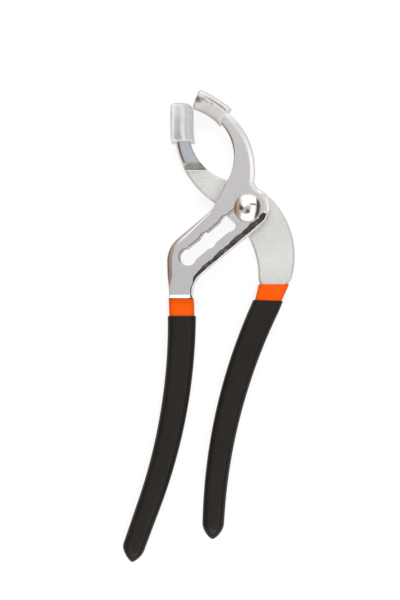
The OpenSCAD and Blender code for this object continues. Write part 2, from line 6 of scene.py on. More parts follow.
import logging
from dataclasses import dataclass, field
from enum import Enum
from math import acos, asin, atan2, copysign, cos, degrees, pi, radians, sin, sqrt, tan
from typing import Any, Callable, Sequence

import bmesh
import bpy
import numpy as np
from bpy.types import ID, Material, Mesh, Node, NodeSocket, NodeTree, Object
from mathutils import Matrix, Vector


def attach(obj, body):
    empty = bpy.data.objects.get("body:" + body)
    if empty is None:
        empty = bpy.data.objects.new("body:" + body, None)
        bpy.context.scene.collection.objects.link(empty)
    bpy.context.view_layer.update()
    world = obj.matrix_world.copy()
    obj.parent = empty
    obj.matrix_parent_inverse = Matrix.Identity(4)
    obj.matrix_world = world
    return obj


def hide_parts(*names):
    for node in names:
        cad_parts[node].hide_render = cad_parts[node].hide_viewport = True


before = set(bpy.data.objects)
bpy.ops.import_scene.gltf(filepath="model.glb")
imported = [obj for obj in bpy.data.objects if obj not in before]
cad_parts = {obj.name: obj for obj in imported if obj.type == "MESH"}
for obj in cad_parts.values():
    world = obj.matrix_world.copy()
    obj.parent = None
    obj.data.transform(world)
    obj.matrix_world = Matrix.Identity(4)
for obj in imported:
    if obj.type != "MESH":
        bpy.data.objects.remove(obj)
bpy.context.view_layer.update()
MM = 0.001
DOWN = 270
NEAR = 0.002 * MM
TINY = 1e-6
LEAST = 1e-9
FACE_WEIGHT = 70
EASED = {"interpolation_type": "SMOOTHSTEP"}
COLOUR = {"data_type": "RGBA"}
LOG = logging.getLogger("pliers")
Array = np.ndarray
Heights = Callable[[Array], Array]
Skin = tuple[Array, list[list[int]]]
Known = dict[Any, Any]


def linear(code: str) -> tuple[float, float, float, float]:
    """Turn a colour as it is written into the values that light is reckoned in.

    Args:
        code: sRGB colour as #rrggbb.

    Returns:
        Linear red, green and blue, and an alpha of one.
    """
    parts = [int(code[i:i + 2], 16) / 255 for i in (1, 3, 5)]
    lit = [c / 12.92 if c <= 0.04045 else ((c + 0.055) / 1.055) ** 2.4 for c in parts]
    return (lit[0], lit[1], lit[2], 1.0)


def add_node(tree: NodeTree, kind: str, inputs: dict[Any, Any] | Sequence[Any] = (),
             stops: Sequence[tuple[float, str]] = (), **settings: Any) -> Node:
    """Add a node with its settings, its values and its links.

    Args:
        tree: Node tree that gets the node.
        kind: Blender's name of the node type.
        inputs: Values and sockets to link, by name or in order; a node stands for its first output in use.
        stops: Place and colour of each stop, for a colour ramp.
        settings: Properties of the node.

    Returns:
        The new node.
    """
    node = tree.nodes.new(kind)
    for name, value in settings.items():
        setattr(node, name, value)
    for place, (at, code) in enumerate(stops):
        ramp = node.color_ramp.elements
        stop = ramp[place] if place < len(ramp) else ramp.new(at)
        stop.position = at
        stop.color = linear(code)
    for key, value in inputs.items() if isinstance(inputs, dict) else enumerate(inputs):
        if isinstance(value, Node):
            value = next(socket for socket in value.outputs if socket.enabled)
        if isinstance(value, NodeSocket):
            tree.links.new(value, node.inputs[key])
        else:
            node.inputs[key].default_value = value
    return node


def add_sums(tree: NodeTree, known: Known, kind: str, *sums: tuple[Any, ...]) -> None:
    """Add a row of sums, each of which takes earlier results by name.

    Args:
        tree: Node tree that gets the nodes.
        known: Results by name; each sum adds its own.
        kind: Blender's name of the node type.
        sums: Name, operation and terms of each sum.
    """
    for name, operation, *terms in sums:
        known[name] = add_node(tree, kind, [known.get(term, term) for term in terms], operation=operation)


def new_tree(name: str, sizes: dict[str, str]) -> tuple[NodeTree, Known]:
    """Make a geometry tree that turns one shape into another by named sizes.

    Args:
        name: Name of the tree.
        sizes: Kind of each named input.

    Returns:
        The tree and its inputs by name.
    """
    tree = bpy.data.node_groups.new(name, "GeometryNodeTree")
    for label, kind in {"Geometry": "Geometry", **sizes}.items():
        tree.interface.new_socket(label, in_out="INPUT", socket_type="NodeSocket" + kind)
    tree.interface.new_socket("Geometry", in_out="OUTPUT", socket_type="NodeSocketGeometry")
    return tree, {socket.name: socket for socket in add_node(tree, "NodeGroupInput").outputs}


def end_tree(tree: NodeTree, shape: Node, material: NodeSocket) -> None:
    """End a geometry tree with a real shape in its finish.

    Args:
        tree: The tree.
        shape: Node that gives the shape.
        material: Named input of the finish.
    """
    real = add_node(tree, "GeometryNodeRealizeInstances", (shape,))
    dressed = add_node(tree, "GeometryNodeSetMaterial", {"Geometry": real, "Material": material})
    add_node(tree, "NodeGroupOutput", (dressed,))


def heading(angle: float | Array) -> Array:
    """Give the unit vector, or vectors, of a heading in degrees."""
    turn = np.radians(angle)
    return np.stack([np.cos(turn), np.sin(turn)], axis=-1)


def smooth(share: float | Array) -> float | Array:
    """Ease a share from nought to one, flat at both ends."""
    held = np.clip(share, 0, 1)
    return held * held * (3 - 2 * held)


def lerp(a: Any, b: Any, share: Any) -> Any:
    """Mix two values by a share."""
    return a + (b - a) * share


def arc(centre: Array, radius: float, start: float, end: float, n: int) -> Array:
    """Lay n steps of an arc between two angles in degrees."""
    return centre + radius * heading(np.linspace(start, end, n + 1))


def line(p: Array, q: Array, n: int) -> Array:
    """Lay n steps of a straight line."""
    return lerp(p, q, np.linspace(0, 1, n + 1)[:, None])


def meet(p: Array, a: float, q: Array, b: float) -> Array:
    """Find where two lines cross.

    Args:
        p: Point on the first line.
        a: Its heading.
        q: Point on the second line.
        b: Its heading.

    Returns:
        The crossing.
    """
    d = q - p
    ra, rb = radians(a), radians(b)
    return p + heading(a) * ((d[0] * sin(rb) - d[1] * cos(rb)) / sin(rb - ra))


def bend(p: Array, a: float, b: float, radius: float, n: int) -> Array:
    """Round a corner.

    Args:
        p: The corner.
        a: Heading before it.
        b: Heading after it.
        radius: Radius of the round.
        n: Steps of the round.

    Returns:
        Points of the round.
    """
    s = copysign(1, b - a)
    back = radius * tan(radians(abs(b - a) / 2))
    centre = p - back * heading(a) + s * radius * heading(a + 90)
    return arc(centre, radius, a - s * 90, b - s * 90, n)


def flat(height: float) -> Heights:
    """Give a height that is the same everywhere."""
    return lambda p: np.full(len(p), height)


class EdgeForm(Enum):
    """Ways in which a long edge is ground: width in mm and tilts of each strip, from the face to the wall."""

    CROWN = ((0.6, 1, 6), (1.9, 9.5, 11.5), (0.25, 24, 27), (0.6, 50, 84))
    SOFT = ((1.8, 1, 7), (0.8, 8, 13), (0.4, 50, 84))
    BEVEL = ((2.9, 30, 30), (0.5, 13, 16), (0.7, 52, 80))
    BEND = ((1.5, 22, 31), (0.9, 35, 44), (0.35, 55, 84))
    NECK = ((0.3, 3, 12), (0.3, 18, 30), (0.4, 50, 84))
    GRIP = ((0.2, 4, 12), (0.8, 33, 42), (0.4, 54, 84))
    FINE = ((0.2, 4, 12), (0.25, 33, 42), (0.4, 54, 84))
    CHEEK = ((0.2, 4, 12), (1.4, 30, 42), (0.9, 52, 80))


EDGE_STEPS = 12
ROUND_STEPS = 96


def ground(form: EdgeForm, spread: float = 1.0) -> Array:
    """Lay the section of a ground edge from the face to the wall.

    Args:
        form: How the edge is ground.
        spread: Share by which the first strip is wider.

    Returns:
        Distance in from the wall and drop below the face, for each point.
    """
    strips = [(w * spread if i == 0 else w, a, b) for i, (w, a, b) in enumerate(form.value)]
    n = EDGE_STEPS // len(strips)
    mid = (np.arange(n) + 0.5) / n
    runs = np.concatenate([np.full(n, w / n) for w, _, _ in strips])
    tilts = np.concatenate([lerp(a, b, mid) for _, a, b in strips])
    run = np.concatenate([[0.0], np.cumsum(runs)])
    drop = np.concatenate([[0.0], np.cumsum(runs * np.tan(np.radians(tilts)))])
    return np.column_stack([run[-1] - run, drop])


def rounded(radius: float) -> Array:
    """Lay the section of a rounded edge from the face to the wall, as ground() does."""
    turn = np.linspace(0, pi / 2, EDGE_STEPS + 1)
    return radius * (1 - np.column_stack([np.sin(turn), np.cos(turn)]))


def section(right: Array, left: Array, front: Heights, back: Heights,
            corners: Sequence[Array]) -> Array:
    """Lay one ring across a piece, from its right edge to its left edge.

    Args:
        right: Point on the right edge, seen from the tip.
        left: Point on the left edge.
        front: Height of the front face.
        back: Height of the back face.
        corners: Right front, left front, left back and right back corner.

    Returns:
        The ring's points.
    """
    across = (left - right) / np.linalg.norm(left - right)
    parts = []
    for place, corner in enumerate(corners):
        pts = corner[::-1] if place in (0, 2) else corner
        start, way = (right, across) if place in (0, 3) else (left, -across)
        flat_pts = start + way * pts[:, :1]
        z = front(flat_pts) - pts[:, 1] if place < 2 else back(flat_pts) + pts[:, 1]
        parts.append(np.column_stack([flat_pts, z]))
    return np.concatenate(parts)


def widened(corners: list[Array], right: float, left: float) -> list[Array]:
    """Draw out corners along a ring that isn't square to its edges, so that their strips keep their widths.

    Args:
        corners: The four corners, in section()'s order.
        right: Share by which the ring is longer at the right edge.
        left: Share by which it is longer at the left edge.

    Returns:
        The drawn out corners.
    """
    return [corner * (right if place in (0, 3) else left, 1) for place, corner in enumerate(corners)]


def askew(edge: Array, other: Array) -> Array:
    """Work out how much longer a distance is along each ring than square to an edge.

    Args:
        edge: Points of the edge, ring by ring.
        other: Points of the opposite edge.

    Returns:
        The share for each ring, from one to two.
    """
    run, across = np.gradient(edge, axis=0), other - edge
    sine = np.abs(run[:, 0] * across[:, 1] - run[:, 1] * across[:, 0])
    size = np.linalg.norm(run, axis=1) * np.linalg.norm(across, axis=1)
    return 1 / np.clip(sine / np.maximum(size, LEAST), 0.5, 1)


def turned(points: Array, angle: float) -> Array:
    """Turn points about the pivot axis by an angle in degrees."""
    c, s = cos(radians(angle)), sin(radians(angle))
    return points @ np.array([[c, s, 0], [-s, c, 0], [0, 0, 1]])


def band_faces(first: int, second: int, m: int) -> list[list[int]]:
    """Give the quads between two rings.

    Args:
        first: Index of the first ring's first point.
        second: Index of the second ring's first point.
        m: Points of a ring.

    Returns:
        Point numbers of each quad.
    """
    i = np.arange(m)
    j = (i + 1) % m
    return np.stack([first + i, first + j, second + j, second + i], axis=1).tolist()


def mesh_of(name: str, points: Array, faces: Sequence[Sequence[int]]) -> Mesh:
    """Make a mesh, in metres, from points in millimetres.

    Args:
        name: Name of the mesh.
        points: Points in millimetres.
        faces: Point numbers of each face.

    Returns:
        The mesh, with smooth faces.
    """
    mesh = bpy.data.meshes.new(name)
    mesh.from_pydata((points * MM).tolist(), [], faces)
    mesh.validate()
    mesh.shade_smooth()
    return mesh


def loft(rings: Sequence[Array]) -> Skin:
    """Skin a row of rings and close both ends.

    Args:
        rings: Rings of equal length.

    Returns:
        Points and faces.
    """
    m, n = len(rings[0]), len(rings)
    faces = [list(range(m - 1, -1, -1))]
    for i in range(n - 1):
        faces += band_faces(i * m, (i + 1) * m, m)
    faces.append([(n - 1) * m + a for a in range(m)])
    return np.concatenate(rings), faces


def shell(outside: Sequence[Array], inside: Sequence[Array]) -> Skin:
    """Skin a cup: outside rings and inside rings, both from the mouth to the closed end.

    Args:
        outside: Rings of the outer wall.
        inside: Rings of the inner wall.

    Returns:
        Points and faces.
    """
    m, n, k = len(outside[0]), len(outside), len(inside)
    faces = band_faces(n * m, 0, m)
    for i in range(n - 1):
        faces += band_faces(i * m, (i + 1) * m, m)
    faces.append([(n - 1) * m + a for a in range(m)])
    for i in range(n, n + k - 1):
        faces += band_faces((i + 1) * m, i * m, m)
    faces.append([(n + k - 1) * m + a for a in range(m - 1, -1, -1)])
    return np.concatenate([*outside, *inside]), faces


def revolve(profile: Sequence[tuple[float, float]], segments: int,
            shape: Callable[[Array, float, float], Array] | None = None) -> Skin:
    """Turn a profile about the pivot axis; points on the axis become poles.

    Args:
        profile: Radius and height of each point, with the solid on the left of its way.
        segments: Steps round the axis.
        shape: Changes the points of one ring, given its radius and height.

    Returns:
        Points and faces.
    """
    turn = np.arange(segments) * 360 / segments
    points, starts, faces = [], [], []
    for radius, height in profile:
        starts.append(sum(len(p) for p in points))
        ring = np.column_stack([radius * heading(turn), np.full(segments, height)])
        if radius < TINY:
            ring = ring[:1]
        elif shape is not None:
            ring = shape(ring, radius, height)
        points.append(ring)
    for i in range(len(profile) - 1):
        a, b = len(points[i]), len(points[i + 1])
        if a == b == segments:
            faces += band_faces(starts[i], starts[i + 1], segments)
            continue
        for k in range(segments):
            nxt = (k + 1) % segments
            if a == 1 and b == segments:
                faces.append([starts[i], starts[i + 1] + nxt, starts[i + 1] + k])
            elif b == 1 and a == segments:
                faces.append([starts[i] + k, starts[i] + nxt, starts[i + 1]])
    return np.concatenate(points), faces


def plain_mesh(obj: Object, name: str) -> Mesh:
    """Take an object's evaluated shape as a plain mesh and remove the object.

    Args:
        obj: Object with live modifiers.
        name: Name of the mesh.

    Returns:
        The mesh, free of modifiers.
    """
    depsgraph = bpy.context.evaluated_depsgraph_get()
    mesh = bpy.data.meshes.new_from_object(
        obj.evaluated_get(depsgraph), preserve_all_data_layers=True, depsgraph=depsgraph)
    bpy.data.objects.remove(obj)
    mesh.name = name
    return mesh


def placed(name: str, data: ID) -> Object:
    """Put data into the scene as an object at the origin.

    Args:
        name: Name of the object.
        data: Its mesh, lamp or camera.

    Returns:
        The object.
    """
    obj = bpy.data.objects.new(name, data)
    bpy.context.scene.collection.objects.link(obj)
    return obj


def grown(obj: Object, tree: NodeTree, sizes: dict[str, Any], name: str) -> Mesh:
    """Run a geometry tree on an object and take its result as a plain mesh.

    Args:
        obj: Object that the tree starts from, which is removed.
        tree: The tree.
        sizes: Value of each named input.
        name: Name of the mesh.

    Returns:
        The mesh.
    """
    run = obj.modifiers.new(tree.name, "NODES")
    run.node_group = tree
    for item in tree.interface.items_tree:
        if item.in_out == "INPUT" and item.name in sizes:
            run[item.identifier] = sizes[item.name]
    bpy.context.view_layer.update()
    return plain_mesh(obj, name)


def cut_with(mesh: Mesh, cutter: Mesh) -> Mesh:
    """Cut one mesh out of another.

    Args:
        mesh: Mesh that is cut.
        cutter: Closed mesh that is taken away.

    Returns:
        The cut mesh.
    """
    tool = placed("cutter", cutter)
    obj = placed("blank", mesh)
    cut = obj.modifiers.new("cut", "BOOLEAN")
    cut.operation, cut.solver, cut.object = "DIFFERENCE", "EXACT", tool
    bpy.context.view_layer.update()
    done = plain_mesh(obj, mesh.name)
    bpy.data.objects.remove(tool)
    return done


def welded(mesh: Mesh) -> Mesh:
    """Join the points that a cut leaves less than 2 microns apart and drop the slivers between them.

    Args:
        mesh: Mesh as it was cut.

    Returns:
        The same mesh, cleaned.
    """
    work = bmesh.new()
    work.from_mesh(mesh)
    bmesh.ops.remove_doubles(work, verts=work.verts, dist=NEAR)
    bmesh.ops.dissolve_degenerate(work, edges=work.edges, dist=NEAR)
    work.to_mesh(mesh)
    work.free()
    return mesh


def set_normals(mesh: Mesh, sharp: float) -> Mesh:
    """Keep flat faces flat up to their rounds, and edges over an angle sharp.

    Args:
        mesh: Mesh to shade.
        sharp: Angle in degrees over which an edge stays sharp.

    Returns:
        The shaded mesh.
    """
    mesh.shade_smooth()
    mesh.set_sharp_from_angle(angle=radians(sharp))
    obj = placed("shading", mesh)
    weigh = obj.modifiers.new("weigh", "WEIGHTED_NORMAL")
    weigh.keep_sharp, weigh.weight = True, FACE_WEIGHT
    bpy.context.view_layer.update()
    return plain_mesh(obj, mesh.name)


@dataclass(frozen=True)
class Levels:
    """Heights of the tool's planes above the plane that it lies on."""

    plate: float = 6.0
    gap: float = 0.2
    bar: float = 8.0
    layers: float = 1.35
    clear: float = 0.1

    @property
    def lap(self) -> float:
        """Height of the plane between the two levers."""
        return self.plate / 2 + self.gap / 2 + self.bar / 2 + self.layers

    @property
    def front(self) -> float:
        """Front face of the slotted lever and of both jaws."""
        return self.lap + self.gap / 2 + self.plate

    @property
    def front_back(self) -> float:
        """Back face of the slotted lever."""
        return self.lap + self.gap / 2

    @property
    def rear(self) -> float:
        """Front face of the plain lever behind the slotted one."""
        return self.lap - self.gap / 2

    @property
    def rear_back(self) -> float:
        """Back face of the plain lever."""
        return self.rear - self.plate

    @property
    def bar_mid(self) -> float:
        """Middle of the bars under the sleeves."""
        return self.rear - self.plate / 2

    @property
    def head(self) -> float:
        """Underside of the bolt's head."""
        return self.front + self.clear


LEVELS = Levels()


@dataclass(frozen=True)
class SlipSlot:
    """The scalloped slot and the bolt's fit in it."""

    heading: float = 220.0
    pitch: float = 13.8
    notches: int = 4
    neck: float = 6.4
    bevel_drop: float = 0.62
    ledge: float = 1.05
    ledge_drop: float = 0.3
    aside_cut: float = 0.8
    pivot: float = 8.0
    clear: float = 0.05
    flat_clear: float = 0.1

    @property
    def length(self) -> float:
        """Distance from the first notch to the last."""
        return self.pitch * (self.notches - 1)

    @property
    def along(self) -> Array:
        """Unit vector from the pivot along the slot."""
        return heading(self.heading)

    @property
    def aside(self) -> Array:
        """Unit vector across the slot, to the upper left."""
        return heading(self.heading - 90)

    @property
    def notch_r(self) -> float:
        """Radius of a notch."""
        return self.pivot / 2 + self.clear


SLOT = SlipSlot()


def scale_of(width: float) -> float:
    """Give the scale of a pattern whose features are this wide, in mm."""
    return 1 / (width * MM)


@dataclass(frozen=True)
class Finish:
    """A surface finish.

    Attributes:
        name: Common name of the material and how its surface was made.
    """

    name: str

    def build(self) -> Material:
        """Make the material of this finish.

        Returns:
            The material.
        """
        material = bpy.data.materials.new(self.name)
        material.use_nodes = True
        tree = material.node_tree
        tree.nodes.clear()
        coords = add_node(tree, "ShaderNodeTexCoord").outputs["Object"]
        shader = add_node(tree, "ShaderNodeBsdfPrincipled", self.dress(tree, coords))
        add_node(tree, "ShaderNodeOutputMaterial", {"Surface": shader})
        return material

    def dress(self, tree: NodeTree, coords: NodeSocket) -> dict[str, Any]:
        """Lay the patterns of the finish.

        Args:
            tree: The material's nodes.
            coords: Place on the piece, in metres.

        Returns:
            The shader's inputs.
        """
        raise NotImplementedError


@dataclass(frozen=True)
class PlatedSteel(Finish):
    """Forged steel, plated and buffed: mirror-like faces with a faint haze along the buffing.

    Attributes:
        pale: Colour where the buffing is even.
        dull: Colour of the faint haze.
        rough: Roughness of the buffed face.
        haze: Width of the patches of haze, in mm.
        lines: Distance between buffing lines, in mm, drawn coarser than real so that they show.
        buff_a: Heading of the buffing lines.
    """

    pale: str = "#edeae8"
    dull: str = "#e2dfe2"
    rough: float = 0.24
    haze: float = 16.0
    lines: float = 1.2
    buff_a: float = -40.0

    def dress(self, tree: NodeTree, coords: NodeSocket) -> dict[str, Any]:
        """Lay patches of haze and long buffing lines on a bright metal.

        Args:
            tree: The material's nodes.
            coords: Place on the piece, in metres.

        Returns:
            The shader's inputs.
        """
        patches = add_node(tree, "ShaderNodeTexNoise", {
            "Vector": coords, "Scale": scale_of(self.haze), "Detail": 1.0})
        tone = add_node(tree, "ShaderNodeValToRGB", (patches,), ((0.15, self.dull), (0.85, self.pale)))
        gloss = add_node(tree, "ShaderNodeMapRange", (patches, 0.1, 0.9, self.rough * 1.3, self.rough * 0.8))
        turn = add_node(tree, "ShaderNodeMapping", {
            "Vector": coords, "Rotation": (0, 0, radians(self.buff_a)), "Scale": (0.06, 1, 1)})
        buffing = add_node(tree, "ShaderNodeTexNoise", {
            "Vector": turn, "Scale": scale_of(self.lines), "Detail": 3.0})
        brushed = add_node(tree, "ShaderNodeBump", {
            "Height": buffing, "Strength": 0.02, "Distance": 0.006 * MM})
        return {"Metallic": 1.0, "Base Color": tone, "Roughness": gloss, "Normal": brushed}


@dataclass(frozen=True)
class BlastedSteel(Finish):
    """Forged steel, grit blasted and plated: an even satin grey that glitters a little at each dent.

    Attributes:
        pale: Colour of a facet that faces the light.
        dark: Colour of a dent.
        grain: Width of a dent, in mm, drawn coarser than the 0.1 mm grit so that it shows.
        rough: Roughness.
        rubbed_and_lit: Radius, in mm, of the lap face round the bore, polished smooth by the other lever's
            sliding and painted brighter as painted light in the bolt's shade.
        fade: Width of that face's border, in mm.
        bright: Colour of that face, partly steel polished by use and partly painted light.
    """

    pale: str = "#e2e2e0"
    dark: str = "#cdcdcb"
    grain: float = 0.5
    rough: float = 0.5
    rubbed_and_lit: float = 0.0
    fade: float = 0.5
    bright: str = "#f6f4f4"

    def dress(self, tree: NodeTree, coords: NodeSocket) -> dict[str, Any]:
        """Lay a dented grain on a satin metal, and round the bore make it smooth and paint it brighter:
        painted light in the bolt's shade.

        Args:
            tree: The material's nodes.
            coords: Place on the piece, in metres.

        Returns:
            The shader's inputs.
        """
        dents = add_node(tree, "ShaderNodeTexNoise", {
            "Vector": coords, "Scale": scale_of(self.grain), "Detail": 2.0, "Roughness": 0.7})
        tone = add_node(tree, "ShaderNodeValToRGB", (dents,), ((0.36, self.dark), (0.56, self.pale)))
        gloss = add_node(tree, "ShaderNodeMapRange", (dents, 0.3, 0.7, self.rough * 1.15, self.rough * 0.8))
        across = add_node(tree, "ShaderNodeVectorMath", (coords, (1, 1, 0)), operation="MULTIPLY")
        reach = add_node(tree, "ShaderNodeVectorMath", (across,), operation="LENGTH")
        # the lap face round the bore: smoother where the other lever slides on it, and brighter as painted
        # light that lifts the shade under the bolt
        rubbed_and_lit_share = add_node(tree, "ShaderNodeMapRange", (
            reach, (self.rubbed_and_lit - self.fade) * MM, self.rubbed_and_lit * MM, 1.0, 0.0))
        rubbed_and_lit_colour = add_node(tree, "ShaderNodeMix", {"Factor": rubbed_and_lit_share, "A": tone, "B": linear(self.bright)}, **COLOUR)
        sheen = add_node(tree, "ShaderNodeMix", {"Factor": rubbed_and_lit_share, "A": gloss, "B": 0.14})
        depth = add_node(tree, "ShaderNodeMapRange", (rubbed_and_lit_share, 0.0, 1.0, 0.35, 0.03))
        relief = add_node(tree, "ShaderNodeBump", {
            "Height": dents, "Strength": depth, "Distance": 0.08 * MM})
        return {"Metallic": 1.0, "Base Color": rubbed_and_lit_colour, "Roughness": sheen, "Normal": relief}


@dataclass(frozen=True)
class ChromePlate(Finish):
    """Chrome plate on a cold-headed bolt: a near mirror with faint turning marks.

    Attributes:
        pale: Colour of the plate.
        warm: Colour where the plate is thin.
        rough: Roughness.
        marks: Distance between turning marks, in mm.
    """

    pale: str = "#f5f4f3"
    warm: str = "#ebe9e7"
    rough: float = 0.1
    marks: float = 2.4

    def dress(self, tree: NodeTree, coords: NodeSocket) -> dict[str, Any]:
        """Lay faint clouds in the colour and the gloss of a mirror metal.

        Args:
            tree: The material's nodes.
            coords: Place on the piece, in metres.

        Returns:
            The shader's inputs.
        """
        clouds = add_node(tree, "ShaderNodeTexNoise", {
            "Vector": coords, "Scale": scale_of(self.marks), "Detail": 3.0})
        tone = add_node(tree, "ShaderNodeValToRGB", (clouds,), ((0.35, self.warm), (0.6, self.pale)))
        gloss = add_node(tree, "ShaderNodeMapRange", (clouds, 0.3, 0.7, self.rough * 1.6, self.rough))
        return {"Metallic": 1.0, "Base Color": tone, "Roughness": gloss}


@dataclass(frozen=True)
class FrostedVinyl(Finish):
    """Dip-moulded clear vinyl with a matt skin: milky where its wall is thick, greyer on the steel, with
    painted shade lines and painted highlight streaks along it.

    Attributes:
        tone_and_shade_bands: Colour from one side wall of the cap (0) to the other (1), at its mouth: the
            vinyl's milky and grey tones, with painted shade lines and painted highlight streaks.
        end_tone_and_shade_bands: The same at its closed end.
        stains: Place across and along the cap, reach as a share of it and colour of each spot where
            steel shows through.
        streak: Width of the flow streaks, in mm.
        clear: Share of light that goes through.
        rough: Roughness of the skin.
    """

    tone_and_shade_bands: tuple[tuple[float, str], ...]
    end_tone_and_shade_bands: tuple[tuple[float, str], ...]
    stains: tuple[tuple[float, float, float, str], ...]
    streak: float = 3.0
    clear: float = 0.3
    rough: float = 0.2

    def dress(self, tree: NodeTree, coords: NodeSocket) -> dict[str, Any]:
        """Lay tone bands with painted shade lines and painted highlight streaks, stains and flow streaks
        along a milky, partly clear cap, and a painted white highlight along its mouth.

        Args:
            tree: The material's nodes.
            coords: Place on the piece, in metres.

        Returns:
            The shader's inputs.
        """
        place = add_node(tree, "ShaderNodeAttribute", attribute_name="cap_place").outputs["Vector"]
        part = add_node(tree, "ShaderNodeSeparateXYZ", (place,)).outputs
        # the bands across the cap hold painted shade lines and painted highlight streaks as well as the
        # vinyl's own tones
        mouth = add_node(tree, "ShaderNodeValToRGB", (part["X"],), self.tone_and_shade_bands)
        end = add_node(tree, "ShaderNodeValToRGB", (part["X"],), self.end_tone_and_shade_bands)
        to_end = add_node(tree, "ShaderNodeMapRange", (part["Y"], 0.45, 0.85, 0.0, 1.0), **EASED)
        tone = add_node(tree, "ShaderNodeMix", {"Factor": to_end, "A": mouth, "B": end}, **COLOUR)
        for across, along, reach, seen in self.stains:
            apart = add_node(tree, "ShaderNodeVectorMath", (place, (across, along, 0.0)),
                             operation="DISTANCE")
            shown = add_node(tree, "ShaderNodeMapRange", (apart, reach * 0.3, reach, 1.0, 0.0), **EASED)
            tone = add_node(tree, "ShaderNodeMix", {"Factor": shown, "A": tone, "B": linear(seen)}, **COLOUR)
        streaks = add_node(tree, "ShaderNodeTexNoise", {
            "Vector": coords, "Scale": scale_of(self.streak), "Detail": 3.0})
        cloudy = add_node(tree, "ShaderNodeValToRGB", (streaks,), ((0.36, "#f5f6f7"), (0.6, "#ffffff")))
        mottled = add_node(tree, "ShaderNodeMix", {"Factor": 1.0, "A": tone, "B": cloudy},
                           blend_type="MULTIPLY", **COLOUR)
        # a painted white highlight along the cap's mouth
        mouth_highlight = add_node(tree, "ShaderNodeMapRange", (part["Y"], 0.015, 0.035, 1.0, 0.0), **EASED)
        with_mouth_highlight = add_node(tree, "ShaderNodeMix", {"Factor": mouth_highlight, "A": mottled, "B": linear("#ffffff")},
                          **COLOUR)
        skin = add_node(tree, "ShaderNodeBump", {"Height": streaks, "Strength": 0.06, "Distance": 0.05 * MM})
        return {"Base Color": with_mouth_highlight, "Roughness": self.rough, "IOR": 1.45,
                "Transmission Weight": self.clear, "Normal": skin}


@dataclass(frozen=True)
class DippedVinyl(Finish):
    """Soft vinyl that was dipped and cured: one even colour under a skin with faint runs and pores.

    Attributes:
        pale: Colour where the dip is thin.
        deep: Colour where the dip is thick.
        runs: Width of the runs, in mm.
        pores: Width of the pores, in mm.
        rough: Roughness of the skin.
        shine: Specular level.
        relief: Depth of the pores, in mm.
    """

    pale: str = "#ff6000"
    deep: str = "#ff5900"
    runs: float = 6.0
    pores: float = 0.6
    rough: float = 0.16
    shine: float = 0.15
    relief: float = 0.006

    def dress(self, tree: NodeTree, coords: NodeSocket) -> dict[str, Any]:
        """Lay runs in the colour of the dip, and pores in its gloss and relief.

        Args:
            tree: The material's nodes.
            coords: Place on the piece, in metres.

        Returns:
            The shader's inputs.
        """
        runs = add_node(tree, "ShaderNodeTexNoise", {
            "Vector": coords, "Scale": scale_of(self.runs), "Detail": 3.0})
        tone = add_node(tree, "ShaderNodeValToRGB", (runs,), ((0.38, self.deep), (0.62, self.pale)))
        pores = add_node(tree, "ShaderNodeTexNoise", {
            "Vector": coords, "Scale": scale_of(self.pores), "Detail": 2.0})
        gloss = add_node(tree, "ShaderNodeMapRange", (pores, 0.3, 0.7, self.rough * 0.85, self.rough * 1.15))
        skin = add_node(tree, "ShaderNodeBump", {
            "Height": pores, "Strength": 0.4, "Distance": self.relief * MM})
        return {"Base Color": tone, "Roughness": gloss, "Specular IOR Level": self.shine, "Normal": skin}


def made(finish: Finish) -> Any:
    """Give a field that holds a finish's material, made with the wardrobe."""
    return field(default_factory=finish.build)


